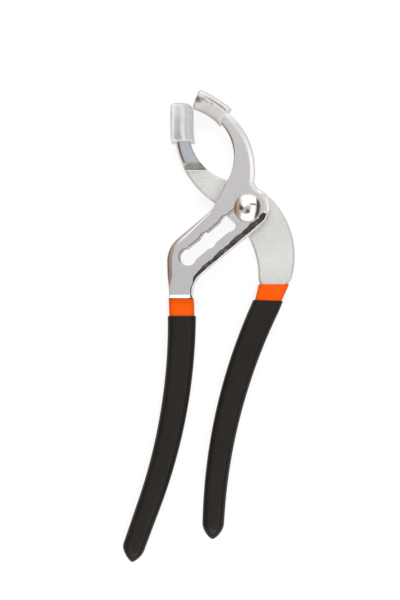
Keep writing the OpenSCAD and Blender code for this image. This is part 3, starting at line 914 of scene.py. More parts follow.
@dataclass
class Wardrobe:
    """The finishes of the tool, made once and shared by its pieces."""

    plated: Material = made(PlatedSteel("plated_forged_steel_buffed"))
    # painted dark reflection: the near-black patches on the ground bevel and the slot's ledge stand in for
    # the dark side of the tent that these faces mirror
    bevel: Material = made(PlatedSteel("forged_steel_bevel_painted_dark_reflection", pale="#a09b97", dull="#141312", haze=1.3))
    jaw: Material = made(PlatedSteel("plated_forged_steel_jaw", pale="#dfe0e7", dull="#d5d6de", rough=0.2))
    # the lap face round the bore is painted brighter: painted light in the bolt's shade
    blasted: Material = made(BlastedSteel("plated_forged_steel_blasted", rubbed_and_lit=11.0))
    # painted shade: the step's darker colour stands in for the shade on its slope
    step: Material = made(BlastedSteel("forged_steel_step_painted_shade", pale="#a1a099", dark="#84837c"))
    chrome: Material = made(ChromePlate("chrome_plated_steel"))
    zinc: Material = made(BlastedSteel("zinc_plated_steel", pale="#d2d4d8", dark="#bcbec2", rough=0.34))
    wide_cap: Material = made(FrostedVinyl(
        "frosted_vinyl_moulded_wide",
        tone_and_shade_bands=((0.02, "#f4f7f6"), (0.07, "#d9dddc"), (0.31, "#dadddd"), (0.36, "#d0d4d4"), (0.41, "#f6f8f8"),
               (0.54, "#f3f5f5"), (0.6, "#cdd3d4"), (0.8, "#d3d8d9"), (0.88, "#fafbfb")),
        end_tone_and_shade_bands=((0.02, "#f6f8f8"), (0.1, "#e2e5e5"), (0.35, "#d9dddd"), (0.42, "#f6f8f8"),
                   (0.55, "#eef1f1"), (0.7, "#e2e6e6"), (0.85, "#fbfcfc")),
        stains=((0.7, 0.1, 0.24, "#bcc2c3"),)))
    slim_cap: Material = made(FrostedVinyl(
        "frosted_vinyl_moulded_slim",
        tone_and_shade_bands=((0.02, "#d8d6d4"), (0.06, "#fbfbfa"), (0.17, "#f6f5f4"), (0.21, "#98948f"), (0.25, "#a5a19d"),
               (0.29, "#ffffff"), (0.34, "#fbfaf9"), (0.4, "#ebe7e4"), (0.92, "#e9e5e2"), (0.97, "#d3d0ce")),
        end_tone_and_shade_bands=((0.02, "#e4e2e0"), (0.08, "#fdfdfc"), (0.26, "#f2f0ee"), (0.3, "#ffffff"),
                   (0.36, "#f4f2f0"), (0.92, "#ebe7e4"), (0.97, "#d8d5d3")),
        stains=((0.36, 0.7, 0.1, "#bdb8b6"), (0.41, 0.6, 0.08, "#c6c1be"), (0.37, 0.46, 0.08, "#c6c1be"),
                (0.48, 0.91, 0.27, "#827e8c"))))
    orange: Material = made(DippedVinyl("orange_vinyl_dipped"))
    black: Material = made(DippedVinyl(
        "black_vinyl_dipped", pale="#1f1b15", deep="#1a1712", runs=9.0, rough=0.42, shine=0.24, relief=0.03))


def add_piece(name: str, mesh: Mesh, materials: Sequence[Material],
              body: str, node: str, marks: Array | None = None) -> None:
    """Put a finished mesh in its solid's place.

    Args:
        name: Name of the piece.
        mesh: Its mesh, already in place.
        materials: Its materials, in slot order.
        body: Body that it moves with.
        node: Solid that it stands for.
        marks: Material of each face, where there are several.
    """
    mesh.materials.clear()
    for material in materials:
        mesh.materials.append(material)
    if marks is not None:
        mesh.polygons.foreach_set("material_index", marks)
    obj = placed(name, mesh)
    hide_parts(node)
    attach(obj, body)
    LOG.info("%s: %d faces, rides on %s", name, len(mesh.polygons), body)


@dataclass(frozen=True)
class Handle:
    """Path of one handle: a first stretch, a long curve and a straight end."""

    top: tuple[float, float]
    start: float
    turn: float
    way: int
    top_w: float
    length: float
    tail: float
    radius: float = 294.0
    lead: float = 16.0
    bar_w: float = 12.4
    end_w: float = 8.6
    collar: float = 9.2
    level_len: float = 45.0
    bar_round: float = 2.4
    ring_n: int = 48

    def heading_at(self, s: float) -> float:
        """Give the handle's heading.

        Args:
            s: Length from its top.

        Returns:
            The heading in degrees.
        """
        if s < self.lead:
            return self.start + self.turn * s / self.lead
        run = min(s, self.length - self.tail) - self.lead
        return self.start + self.turn + self.way * degrees(run / self.radius)

    @staticmethod
    def swung(p: Array, a: float, b: float, radius: float) -> Array:
        """Give the end of an arc from p that turns from heading a to heading b."""
        ra, rb = radians(a), radians(b)
        return p + radius * np.array([sin(rb) - sin(ra), cos(ra) - cos(rb)])

    def point(self, s: float) -> Array:
        """Give the middle of the handle.

        Args:
            s: Length from its top.

        Returns:
            The point.
        """
        first = self.lead / radians(self.turn)
        top = np.array(self.top)
        here = self.heading_at(s)
        if s < self.lead:
            return self.swung(top, self.start, here, first)
        knee = self.start + self.turn
        p = self.swung(self.swung(top, self.start, knee, first), knee, here, self.way * self.radius)
        return p + max(0.0, s - self.length + self.tail) * heading(here)

    def half(self, s: float) -> float:
        """Give half the bar's width.

        Args:
            s: Length from its top.

        Returns:
            The half width.
        """
        if s < self.collar:
            return lerp(self.top_w, self.bar_w, s / self.collar) / 2
        share = (min(s, self.length) - self.collar) / (self.length - self.collar)
        return lerp(self.bar_w, self.end_w, share) / 2

    def cut_a(self, s: float) -> float:
        """Give the heading that a section is square to: level at the top, the handle's own further down."""
        return lerp(DOWN, self.heading_at(s), smooth(s / self.level_len))

    def ring(self, s: float) -> Array:
        """Lay a ring of the steel bar.

        Args:
            s: Length from its top.

        Returns:
            The ring.
        """
        here, cut = self.heading_at(s), self.cut_a(s)
        out = self.half(s) / cos(radians(here - cut)) * heading(cut - 90)
        mid = self.point(s)
        top, foot = flat(LEVELS.bar_mid + LEVELS.bar / 2), flat(LEVELS.bar_mid - LEVELS.bar / 2)
        return section(mid + out, mid - out, top, foot, [rounded(self.bar_round)] * 4)

    def rings(self) -> list[Array]:
        """Lay the rings of the whole bar."""
        return [self.ring(s) for s in np.linspace(0, self.length, self.ring_n)]


@dataclass
class SlottedHalf:
    """Front lever with the scalloped slot and the ground bevel."""

    finishes: Wardrobe
    body: str = "slotted_half"
    plate_w: float = 23.4
    boss_r: float = 11.0
    slot_end: float = 5.0
    neck_w: float = 13.0
    bend_out_r: float = 16.0
    bend_in_r: float = 14.0
    neck_run: float = 2.0
    ramp_len: float = 4.6
    ramp_back: float = 3.6
    jaw_n: int = 84
    plate_n: int = 6
    neck_flare: float = 1.2
    shoulder_r: float = 10.0
    back_round: float = 1.1
    centre: tuple[float, float] = (-33.0, 27.0)
    jaw_r: float = 25.2
    tip_w: float = 6.7
    root_w: float = 13.6
    tip_a: float = 79.0
    root_a: float = -28.0
    outer_a: float = -20.5
    draw: float = 1.2
    draw_a: float = 40.0
    boss_a: float = 58.0
    flare_run: float = 16.0
    flare_past: float = 4.0
    handle_trim: float = 0.5
    wall_rises: tuple[float, ...] = (0.12, 0.3, 0.5, 1.85)
    wall_drops: tuple[float, ...] = (1.5, 0.75, 0.0)
    neck_rises: tuple[float, ...] = (2.1, 1.85, 1.6, 1.3, 0.9, 0.5, 0.4, 0.3, 0.21, 0.12)
    bevel_places: tuple[float, ...] = (10.0, 21.0, 25.0)
    bevel_spreads: tuple[float, ...] = (1.08, 0.72, 0.2)
    bevel_waves: tuple[tuple[float, float, float], ...] = ((0.03, 0.83, 0.0), (0.06, 0.31, 1.0))
    # faces of the plate's lower right bevel and of the slot's ledge within these limits get the painted dark
    # reflection
    dark_reflect_top: float = 4.0
    dark_reflect_in: float = 4.5
    ledge_top: float = 8.0
    ledge_out: float = 9.0
    dark_reflect_facing: tuple[float, float] = (0.15, 0.1)
    dark_reflect_tilt: tuple[float, float] = (0.7, 0.945)
    slot_depth: float = 30.0
    sink_slope: float = 1.43
    sink_n: int = 72
    sharp: float = 12.5

    def __post_init__(self) -> None:
        """Work out the corners of the plate and the path of the handle."""
        along, aside = SLOT.along, SLOT.aside
        self.neck_x = (SLOT.length + self.slot_end) * along[0]
        self.p_out = meet(aside * self.plate_w / 2, SLOT.heading,
                          np.array([self.neck_x - self.neck_w / 2 - self.neck_flare, 0.0]), DOWN)
        self.p_in = meet(-aside * self.plate_w / 2, SLOT.heading,
                         np.array([self.neck_x + self.neck_w / 2, 0.0]), DOWN)
        half_turn = tan(radians((DOWN - SLOT.heading) / 2))
        self.bend_end_y = self.p_in[1] - self.bend_in_r * half_turn
        self.in_start = self.p_in - self.bend_in_r * half_turn * along
        self.top = (self.neck_x, self.bend_end_y - self.neck_run)
        self.handle = Handle(self.top, start=273.4, turn=-4.6, way=-1, top_w=self.neck_w - self.handle_trim,
                             length=134.5, tail=23.0)

    def front(self, p: Array) -> Array:
        """Give the front height: a short bevel and a steep wall set it back above the sleeve."""
        heights = [LEVELS.bar_mid + LEVELS.bar / 2, *(LEVELS.front - drop for drop in self.wall_drops)]
        return np.interp(p[:, 1] - self.top[1], self.wall_rises, heights)

    def back(self, p: Array) -> Array:
        """Give the back height, set back at the ramp above the sleeve."""
        share = smooth((p[:, 1] - self.top[1] - self.ramp_back) / self.ramp_len)
        return lerp(LEVELS.bar_mid - LEVELS.bar / 2, LEVELS.front_back, share)

    def grip_r(self, a: float | Array) -> float | Array:
        """Give the radius of the gripping edge at an angle round the jaw's centre."""
        return self.jaw_r + self.draw * np.clip((a - self.draw_a) / (self.tip_a - self.draw_a), 0, 1)

    def width(self, share: float | Array) -> float | Array:
        """Give the jaw's width at a share of its length from the tip."""
        return lerp(self.tip_w, self.root_w, np.clip(share, 0, None) ** 2)

    def inner(self, a: Array) -> Array:
        """Give points of the gripping edge at angles round the jaw's centre."""
        return np.array(self.centre) + self.grip_r(a)[:, None] * heading(a)

    def outer(self, a: Array) -> Array:
        """Give points of the jaw's back at angles round the jaw's centre."""
        share = (self.tip_a - a) / (self.tip_a - self.outer_a)
        return np.array(self.centre) + (self.grip_r(a) + self.width(share))[:, None] * heading(a)

    def edges(self) -> tuple[Array, Array]:
        """Lay the right and the left edge from the tip down to the sleeve.

        Returns:
            Points of both edges, station by station.
        """
        aside, k = SLOT.aside, self.plate_n
        shares = np.linspace(0, 1, self.jaw_n + 1)
        jaw_in = self.inner(lerp(self.tip_a, self.root_a, shares))
        corner = meet(jaw_in[-1], DOWN + self.root_a, aside * self.plate_w / 2, SLOT.heading)
        shoulder = bend(corner, DOWN + self.root_a, SLOT.heading, self.shoulder_r, 5 * k)
        outer_bend = bend(self.p_out, SLOT.heading, DOWN, self.bend_out_r, 9 * k)
        low = self.top[1] + np.array(self.neck_rises)
        neck_y = np.concatenate([np.linspace(self.in_start[1], low[0], 44)[1:], low[1:]])
        flare = self.neck_flare * (1 - smooth((self.in_start[1] - neck_y + self.flare_past) / self.flare_run))
        right = np.concatenate([
            jaw_in, line(jaw_in[-1], shoulder[0], 5 * k)[1:], shoulder[1:],
            line(shoulder[-1], outer_bend[0], 3 * k)[1:], outer_bend[1:],
            np.column_stack([self.neck_x - self.neck_w / 2 - flare, neck_y])])
        round_share = np.linspace(0, 1, 10 * k + 1)[1:]
        boss = (lerp(self.boss_r, self.plate_w / 2, round_share)[:, None]
                * heading(lerp(self.boss_a, SLOT.heading - DOWN, round_share)))
        bow_x = self.p_in[0] + self.bend_in_r
        bow = np.sqrt(np.maximum(0, self.bend_in_r ** 2 - (neck_y - self.bend_end_y) ** 2))
        in_x = np.where(neck_y > self.bend_end_y, bow_x - bow, self.p_in[0])
        left = np.concatenate([
            self.outer(lerp(self.tip_a, self.outer_a, shares)), boss,
            line(-aside * self.plate_w / 2, self.in_start, 12 * k)[1:], np.column_stack([in_x, neck_y])])
        return right, left

    def corners(self, place: int) -> list[Array]:
        """Give the corners of a station: a crowned jaw, a ground bevel of uneven width and a soft bend.

        Args:
            place: Number of the station from the tip.

        Returns:
            The four corners, in section()'s order.
        """
        past = (place - self.jaw_n) / self.plate_n
        bevel = ground(EdgeForm.BEVEL, np.interp(past, self.bevel_places, self.bevel_spreads))
        uneven = 1.0
        for high, beat, lag in self.bevel_waves:
            uneven += high * sin(place * beat + lag)
        bevel[:, 0] *= uneven
        left, right = ground(EdgeForm.CROWN), ground(EdgeForm.GRIP)
        for form, start, run in ((ground(EdgeForm.SOFT), -1, 3), (bevel, 6.2, 0.9)):
            left = lerp(left, form, smooth((past - start) / run))
        for form, start, run in ((EdgeForm.FINE, -7, 4), (EdgeForm.BEND, 9, 5), (EdgeForm.NECK, 22, 5)):
            right = lerp(right, ground(form), smooth((past - start) / run))
        small = rounded(self.back_round)
        return [right, left, small, small]

    def slot_tree(self) -> NodeTree:
        """Build the tree that cuts the scalloped slot, with a notch and a countersink at each step.

        Returns:
            The tree, whose named inputs are the slot's sizes in metres.
        """
        sizes = ("Pitch", "Notch Radius", "Neck Width", "Ledge", "Ledge Drop", "Bevel Drop", "Aside",
                 "Face Height", "Depth", "Heading")
        tree, known = new_tree("scalloped_slip_slot", {
            **dict.fromkeys(sizes, "Float"), "Notches": "Int", "Material": "Material"})
        add_sums(tree, known, "ShaderNodeMath",
                 ("gaps", "ADD", "Notches", -1.0), ("long", "MULTIPLY", "Pitch", "gaps"),
                 ("middle", "MULTIPLY", "long", 0.5), ("half neck", "MULTIPLY", "Neck Width", 0.5),
                 ("to side", "MULTIPLY", "Aside", -1.0))
        step = add_node(tree, "ShaderNodeCombineXYZ", (known["Pitch"],))
        row = add_node(tree, "GeometryNodeMeshLine", {"Count": known["Notches"], "Offset": step})
        notch = add_node(tree, "GeometryNodeMeshCylinder", {
            "Vertices": self.sink_n, "Radius": known["Notch Radius"], "Depth": known["Depth"]})
        neck_size = add_node(tree, "ShaderNodeCombineXYZ", (
            known["long"], known["Neck Width"], known["Depth"]))
        neck = add_node(tree, "GeometryNodeMeshCube", {"Size": neck_size})
        neck_at = add_node(tree, "ShaderNodeCombineXYZ", (known["middle"],))
        parts = []
        for over, drop in (("Ledge", "Ledge Drop"), (0.0, "Bevel Drop")):
            add_sums(tree, known, "ShaderNodeMath",
                     ("inner", "SUBTRACT", over, "Aside"), ("twice", "MULTIPLY", drop, 2.0),
                     ("down", "MULTIPLY", drop, -1.0), ("spread", "MULTIPLY", "twice", self.sink_slope),
                     ("low", "ADD", "Notch Radius", "inner"), ("high", "ADD", "low", "spread"),
                     ("half", "ADD", "half neck", "inner"), ("corner", "MULTIPLY", "half", sqrt(2)),
                     ("corner up", "MULTIPLY_ADD", "spread", sqrt(2), "corner"),
                     ("widest", "ADD", "half", "spread"), ("longer", "DIVIDE", "middle", "widest"))
            sink = add_node(tree, "GeometryNodeMeshCone", {
                "Vertices": self.sink_n, "Radius Top": known["high"], "Radius Bottom": known["low"],
                "Depth": known["twice"]})
            sink_at = add_node(tree, "ShaderNodeCombineXYZ", (0.0, known["to side"], known["down"]))
            sunk = add_node(tree, "GeometryNodeTransform", {"Geometry": sink, "Translation": sink_at})
            parts.append(add_node(tree, "GeometryNodeInstanceOnPoints", {"Points": row, "Instance": sunk}))
            trough = add_node(tree, "GeometryNodeMeshCone", {
                "Vertices": 4, "Radius Top": known["corner up"], "Radius Bottom": known["corner"],
                "Depth": known["twice"]})
            square = add_node(tree, "GeometryNodeTransform", {
                "Geometry": trough, "Rotation": (0, 0, radians(45))})
            stretch = add_node(tree, "ShaderNodeCombineXYZ", (known["longer"], 1.0, 1.0))
            trough_at = add_node(tree, "ShaderNodeCombineXYZ", (
                known["middle"], known["to side"], known["down"]))
            parts.append(add_node(tree, "GeometryNodeTransform", {
                "Geometry": square, "Translation": trough_at, "Scale": stretch}))
        parts.append(add_node(tree, "GeometryNodeTransform", {"Geometry": neck, "Translation": neck_at}))
        parts.append(add_node(tree, "GeometryNodeInstanceOnPoints", {"Points": row, "Instance": notch}))
        tools = add_node(tree, "GeometryNodeJoinGeometry")
        for part in parts:
            tree.links.new(part.outputs[0], tools.inputs[0])
        whole = add_node(tree, "GeometryNodeRealizeInstances", (tools,))
        lift = add_node(tree, "ShaderNodeCombineXYZ", {"Z": known["Face Height"]})
        spin = add_node(tree, "ShaderNodeCombineXYZ", {"Z": known["Heading"]})
        set_in = add_node(tree, "GeometryNodeTransform", {
            "Geometry": whole, "Translation": lift, "Rotation": spin})
        cut = add_node(tree, "GeometryNodeMeshBoolean",
                       {"Mesh 1": known["Geometry"], "Mesh 2": set_in, "Self Intersection": True},
                       operation="DIFFERENCE", solver="EXACT")
        end_tree(tree, cut, known["Material"])
        return tree

    def build_lever(self) -> None:
        """Skin the forging, cut its slot and dress it."""
        right, left = self.edges()
        leans = zip(askew(right, left), askew(left, right))
        rings = [section(r, l, self.front, self.back, widened(self.corners(i), *lean))
                 for i, (r, l, lean) in enumerate(zip(right, left, leans))]
        blank = placed("lever_blank", mesh_of("slotted_lever_forging", *loft(rings + self.handle.rings())))
        sizes = {"Pitch": SLOT.pitch, "Notch Radius": SLOT.notch_r, "Neck Width": SLOT.neck,
                 "Ledge": SLOT.ledge, "Ledge Drop": SLOT.ledge_drop, "Bevel Drop": SLOT.bevel_drop,
                 "Aside": SLOT.aside_cut, "Face Height": LEVELS.front, "Depth": self.slot_depth}
        cut = grown(blank, self.slot_tree(), {
            **{label: size * MM for label, size in sizes.items()}, "Heading": radians(SLOT.heading),
            "Notches": SLOT.notches, "Material": self.finishes.plated}, "slotted_lever_forging")
        mesh = set_normals(welded(cut), self.sharp)
        # the bevel's and the ledge's faces get the second material, whose near-black colour is a painted dark
        # reflection
        marks = np.zeros(len(mesh.polygons), np.int32)
        for face in mesh.polygons:
            x, y, z = face.center / MM
            out = -np.dot(SLOT.aside, (x, y))
            facing = -np.dot(SLOT.aside, face.normal.xy)
            on_edge, on_ledge = self.dark_reflect_facing
            edge = y < self.dark_reflect_top and out > self.plate_w / 2 - self.dark_reflect_in and face.normal.x > on_edge
            ledge = (-self.ledge_out < out < 0 and y < self.ledge_top and facing > on_ledge
                     and z > LEVELS.front - SLOT.ledge_drop)
            if (edge or ledge) and self.dark_reflect_tilt[0] < face.normal.z < self.dark_reflect_tilt[1]:
                marks[face.index] = 1
        add_piece("slotted_lever_forging", mesh, [self.finishes.plated, self.finishes.bevel],
                  self.body, "slotted_lever", marks)


@dataclass
class PlainHalf:
    """Rear lever with the stepped jaw and the bolt's bore."""

    finishes: Wardrobe
    body: str = "plain_half"
    centre: tuple[float, float] = (-4.5, 40.8)
    jaw_r: float = 26.5
    tip_w: float = 8.2
    root_w: float = 13.8
    tip_len: float = 12.7
    step_y: float = 20.0
    step_len: float = 3.8
    step_back: float = 3.4
    step_lean: float = 0.1
    round_sweep: float = 70.0
    neck_out: float = 24.9
    neck_out_r: float = 43.4
    neck_in: float = 5.5
    neck_in_r: float = 44.0
    neck_out_drop: float = 25.5
    neck_in_drop: float = 36.5
    thick_drop: float = 16.0
    drop: float = 40.5
    front_round: float = 1.3
    back_round: float = 1.1
    turn: float = 0.0
    lean_x: float = 28.0
    plate_n: int = 3
    neck_in_a: float = 28.0
    neck_out_a: tuple[float, float] = (60.0, 25.0)
    root_a: float = 262.0
    low_rise: float = 2.5
    seat_h: float = 3.3
    seat_d: float = 14.5473
    past: float = 2.0
    flare_power: float = 2.3
    level_share: float = 0.65
    level_wide: float = 1.2
    soft_rise: float = 3.2
    soft_run: float = 3.0
    inner_round: float = 0.5
    inner_run: float = 12.0
    front_tilt: float = 0.05
    shaded_step_tilt: tuple[float, float] = (-0.3, -0.35)
    sharp: float = 32.0

    def __post_init__(self) -> None:
        """Work out the neck's rounds and the path of the handle."""
        self.out_c = np.array([self.neck_out - self.neck_out_r, -self.neck_out_drop])
        self.in_c = np.array([self.neck_in - self.neck_in_r, -self.neck_in_drop])
        x_out = self.out_c[0] + self.neck_out_r * cos(radians(self.out_a(-self.drop)))
        x_in = self.in_c[0] + self.neck_in_r * cos(radians(self.in_a(-self.drop)))
        self.handle = Handle(((x_out + x_in) / 2, -self.drop), start=252.7, turn=-7.4, way=1, top_w=14.5,
                             length=131.0, tail=4.0)

    def out_a(self, y: float) -> float:
        """Give the angle of the neck's outer round at a height."""
        return degrees(asin((y - self.out_c[1]) / self.neck_out_r))

    def in_a(self, y: float) -> float:
        """Give the angle of the neck's inner round at a height."""
        return degrees(asin((y - self.in_c[1]) / self.neck_in_r))

    def thick(self, p: Array) -> Array:
        """Give the share by which the neck has thickened to the bar."""
        return smooth((-self.thick_drop - p[:, 1]) / (self.drop - 1 - self.thick_drop))

    def front(self, p: Array) -> Array:
        """Give the front height, stepped forward at the jaw.

        Args:
            p: Points seen from the front.

        Returns:
            The height at each point.
        """
        risen = p[:, 1] - self.step_lean * (p[:, 0] + self.lean_x) - self.step_y
        jaw = lerp(LEVELS.rear, LEVELS.front, smooth(risen / self.step_len))
        neck = lerp(LEVELS.rear, LEVELS.bar_mid + LEVELS.bar / 2, self.thick(p))
        return np.where(p[:, 1] > 0, jaw, neck)

    def back(self, p: Array) -> Array:
        """Give the back height, stepped forward at the jaw.

        Args:
            p: Points seen from the front.

        Returns:
            The height at each point.
        """
        share = smooth((p[:, 1] - self.step_y - self.step_back) / self.step_len)
        neck = lerp(LEVELS.rear_back, LEVELS.bar_mid - LEVELS.bar / 2, self.thick(p))
        return np.where(p[:, 1] > 0, lerp(LEVELS.rear_back, LEVELS.front_back, share), neck)

    def outer(self, a: Array) -> Array:
        """Give points of the jaw's outer edge.

        Args:
            a: Angles round the jaw's centre.

        Returns:
            A point for each angle.
        """
        share = np.clip((a - 180) / self.round_sweep, 0, 1) ** self.flare_power
        reach = self.jaw_r + lerp(self.tip_w, self.root_w, share)
        return np.array(self.centre) + reach[:, None] * heading(a)

    def inner(self, y: Array) -> Array:
        """Give points of the gripping edge at heights."""
        x = self.centre[0] - np.sqrt(self.jaw_r ** 2 - np.clip(self.centre[1] - y, 0, None) ** 2)
        return np.column_stack([x, y])

    def edges(self) -> tuple[Array, Array]:
        """Lay the right and the left edge from the tip down to the sleeve.

        Returns:
            Points of both edges, station by station.
        """
        k = self.plate_n
        cx, cy = self.centre
        tip_y = np.linspace(cy + self.tip_len, cy, 4 * k + 1)
        rise = cy - self.step_y + self.step_len * self.level_share
        level_a = 180 + degrees(asin(rise / (self.jaw_r + self.tip_w * self.level_wide)))
        level = self.outer(np.linspace(180, level_a, 24 * k + 1)[1:])
        out_a = 180 + self.round_sweep
        root = self.outer(np.linspace(level_a, out_a, 6 * k + 1)[1:])
        low = -self.drop + self.low_rise
        neck_start = self.in_c + self.neck_in_r * heading(self.neck_in_a)
        right = np.concatenate([
            np.column_stack([np.full(len(tip_y), cx - self.jaw_r - self.tip_w), tip_y]), level, root,
            line(root[-1], neck_start, 8 * k)[1:],
            arc(self.in_c, self.neck_in_r, self.neck_in_a, self.in_a(low), 8 * k)[1:]])
        in_a = 180 + degrees(asin((cy - level[-1][1]) / self.jaw_r))
        left = np.concatenate([
            np.column_stack([np.full(len(tip_y), cx - self.jaw_r), tip_y]), self.inner(level[:, 1]),
            arc(np.array(self.centre), self.jaw_r, in_a, self.root_a, 6 * k)[1:],
            arc(self.out_c, self.neck_out_r, *self.neck_out_a, 8 * k - 1),
            arc(self.out_c, self.neck_out_r, self.neck_out_a[1], self.out_a(low), 8 * k)[1:]])
        return right, left

    def corners(self, y: float) -> list[Array]:
        """Give the corners of a station: a ground cheek and grip on the jaw, soft rounds further down.

        Args:
            y: Height of the station.

        Returns:
            The four corners, in section()'s order.
        """
        soft = smooth((self.step_y + self.soft_rise - y) / self.soft_run)
        big, small, fine = map(rounded, (self.front_round, self.back_round, self.inner_round))
        inner = lerp(fine, big, smooth(-y / self.inner_run))
        cheek, grip = ground(EdgeForm.CHEEK), ground(EdgeForm.GRIP)
        return [lerp(cheek, big, soft), lerp(grip, inner, soft), small, small]

    def build_lever(self) -> None:
        """Skin the forging, bore it for the bolt and dress it: buffed jaw, painted shade on the step and
        blasted neck.
        """
        right, left = self.edges()
        leans = zip(askew(right, left), askew(left, right))
        rings = [section(r, l, self.front, self.back, widened(self.corners(r[1]), *lean))
                 for r, l, lean in zip(right, left, leans)]
        points, faces = loft(rings + self.handle.rings())
        mesh = mesh_of("plain_lever_forging", turned(points, self.turn), faces)
        low, high, over = -self.past, LEVELS.lap + self.past, self.seat_d / 2
        bore = [(0, low), (over, low), (over, self.seat_h), (SLOT.notch_r, self.seat_h), (SLOT.notch_r, high),
                (0, high)]
        mesh = set_normals(cut_with(mesh, mesh_of("bore", *revolve(bore, ROUND_STEPS))), self.sharp)
        foot, top = self.step_y * MM, (self.step_y + self.step_len) * MM
        marks = np.zeros(len(mesh.polygons), np.int32)
        for face in mesh.polygons:
            (x, y, z), height = face.normal, face.center.y
            if z > self.front_tilt and height > top:
                marks[face.index] = 1
            # faces on the step's slope get the darker colour of painted shade
            elif z > self.front_tilt and height > foot and x > self.shaded_step_tilt[0] and y < self.shaded_step_tilt[1]:
                marks[face.index] = 2
        add_piece("plain_lever_forging", mesh, [self.finishes.blasted, self.finishes.jaw, self.finishes.step],
                  self.body, "plain_lever", marks)


@dataclass
class CapShape:
    """Sizes that the two jaw caps share."""

    length: float = 20.4
    end: float = 2.0
    face: float = 1.5
    back: float = 2.0
    mouth: float = 1.6
    grip_round: float = 3.4
    back_round: float = 1.6
    back_corner: float = 2.2
    gap: float = 0.05
    round_room: float = 2.9
    mouth_run: float = 6.0
    first_turn: float = 0.15
    ring_n: int = 40
    sharp: float = 40.0

    def hollow(self, ring: Array, way: Array, run: float) -> Array:
        """Draw the front and back of a ring up into the mouth.

        Args:
            ring: Ring of a wall.
            way: Unit vector from the mouth to the closed end.
            run: Distance of the ring from the mouth.

        Returns:
            The drawn ring.
        """
        n = len(ring) // 4
        turn = np.linspace(0, pi / 2, n)
        share = np.concatenate([np.sin(turn), np.cos(turn)] * 2)
        moved = ring.copy()
        moved[:, :2] += self.mouth * (1 - smooth(run / self.mouth_run)) * share[:, None] * way
        return moved

    def spots(self, length: float, corner: float, steps: int) -> Array:
        """Give the rings' distances from the closed end, close together in its rounded corner."""
        round_in = corner * np.cos(np.linspace(self.first_turn, pi / 2, steps)) ** 2
        return np.concatenate([np.linspace(length, corner, self.ring_n), round_in])


def inset(d: float, radius: float) -> float:
    """Give how far a round has drawn in at a distance from its end."""
    return radius - sqrt(max(0.0, radius ** 2 - (radius - d) ** 2)) if d < radius else 0.0


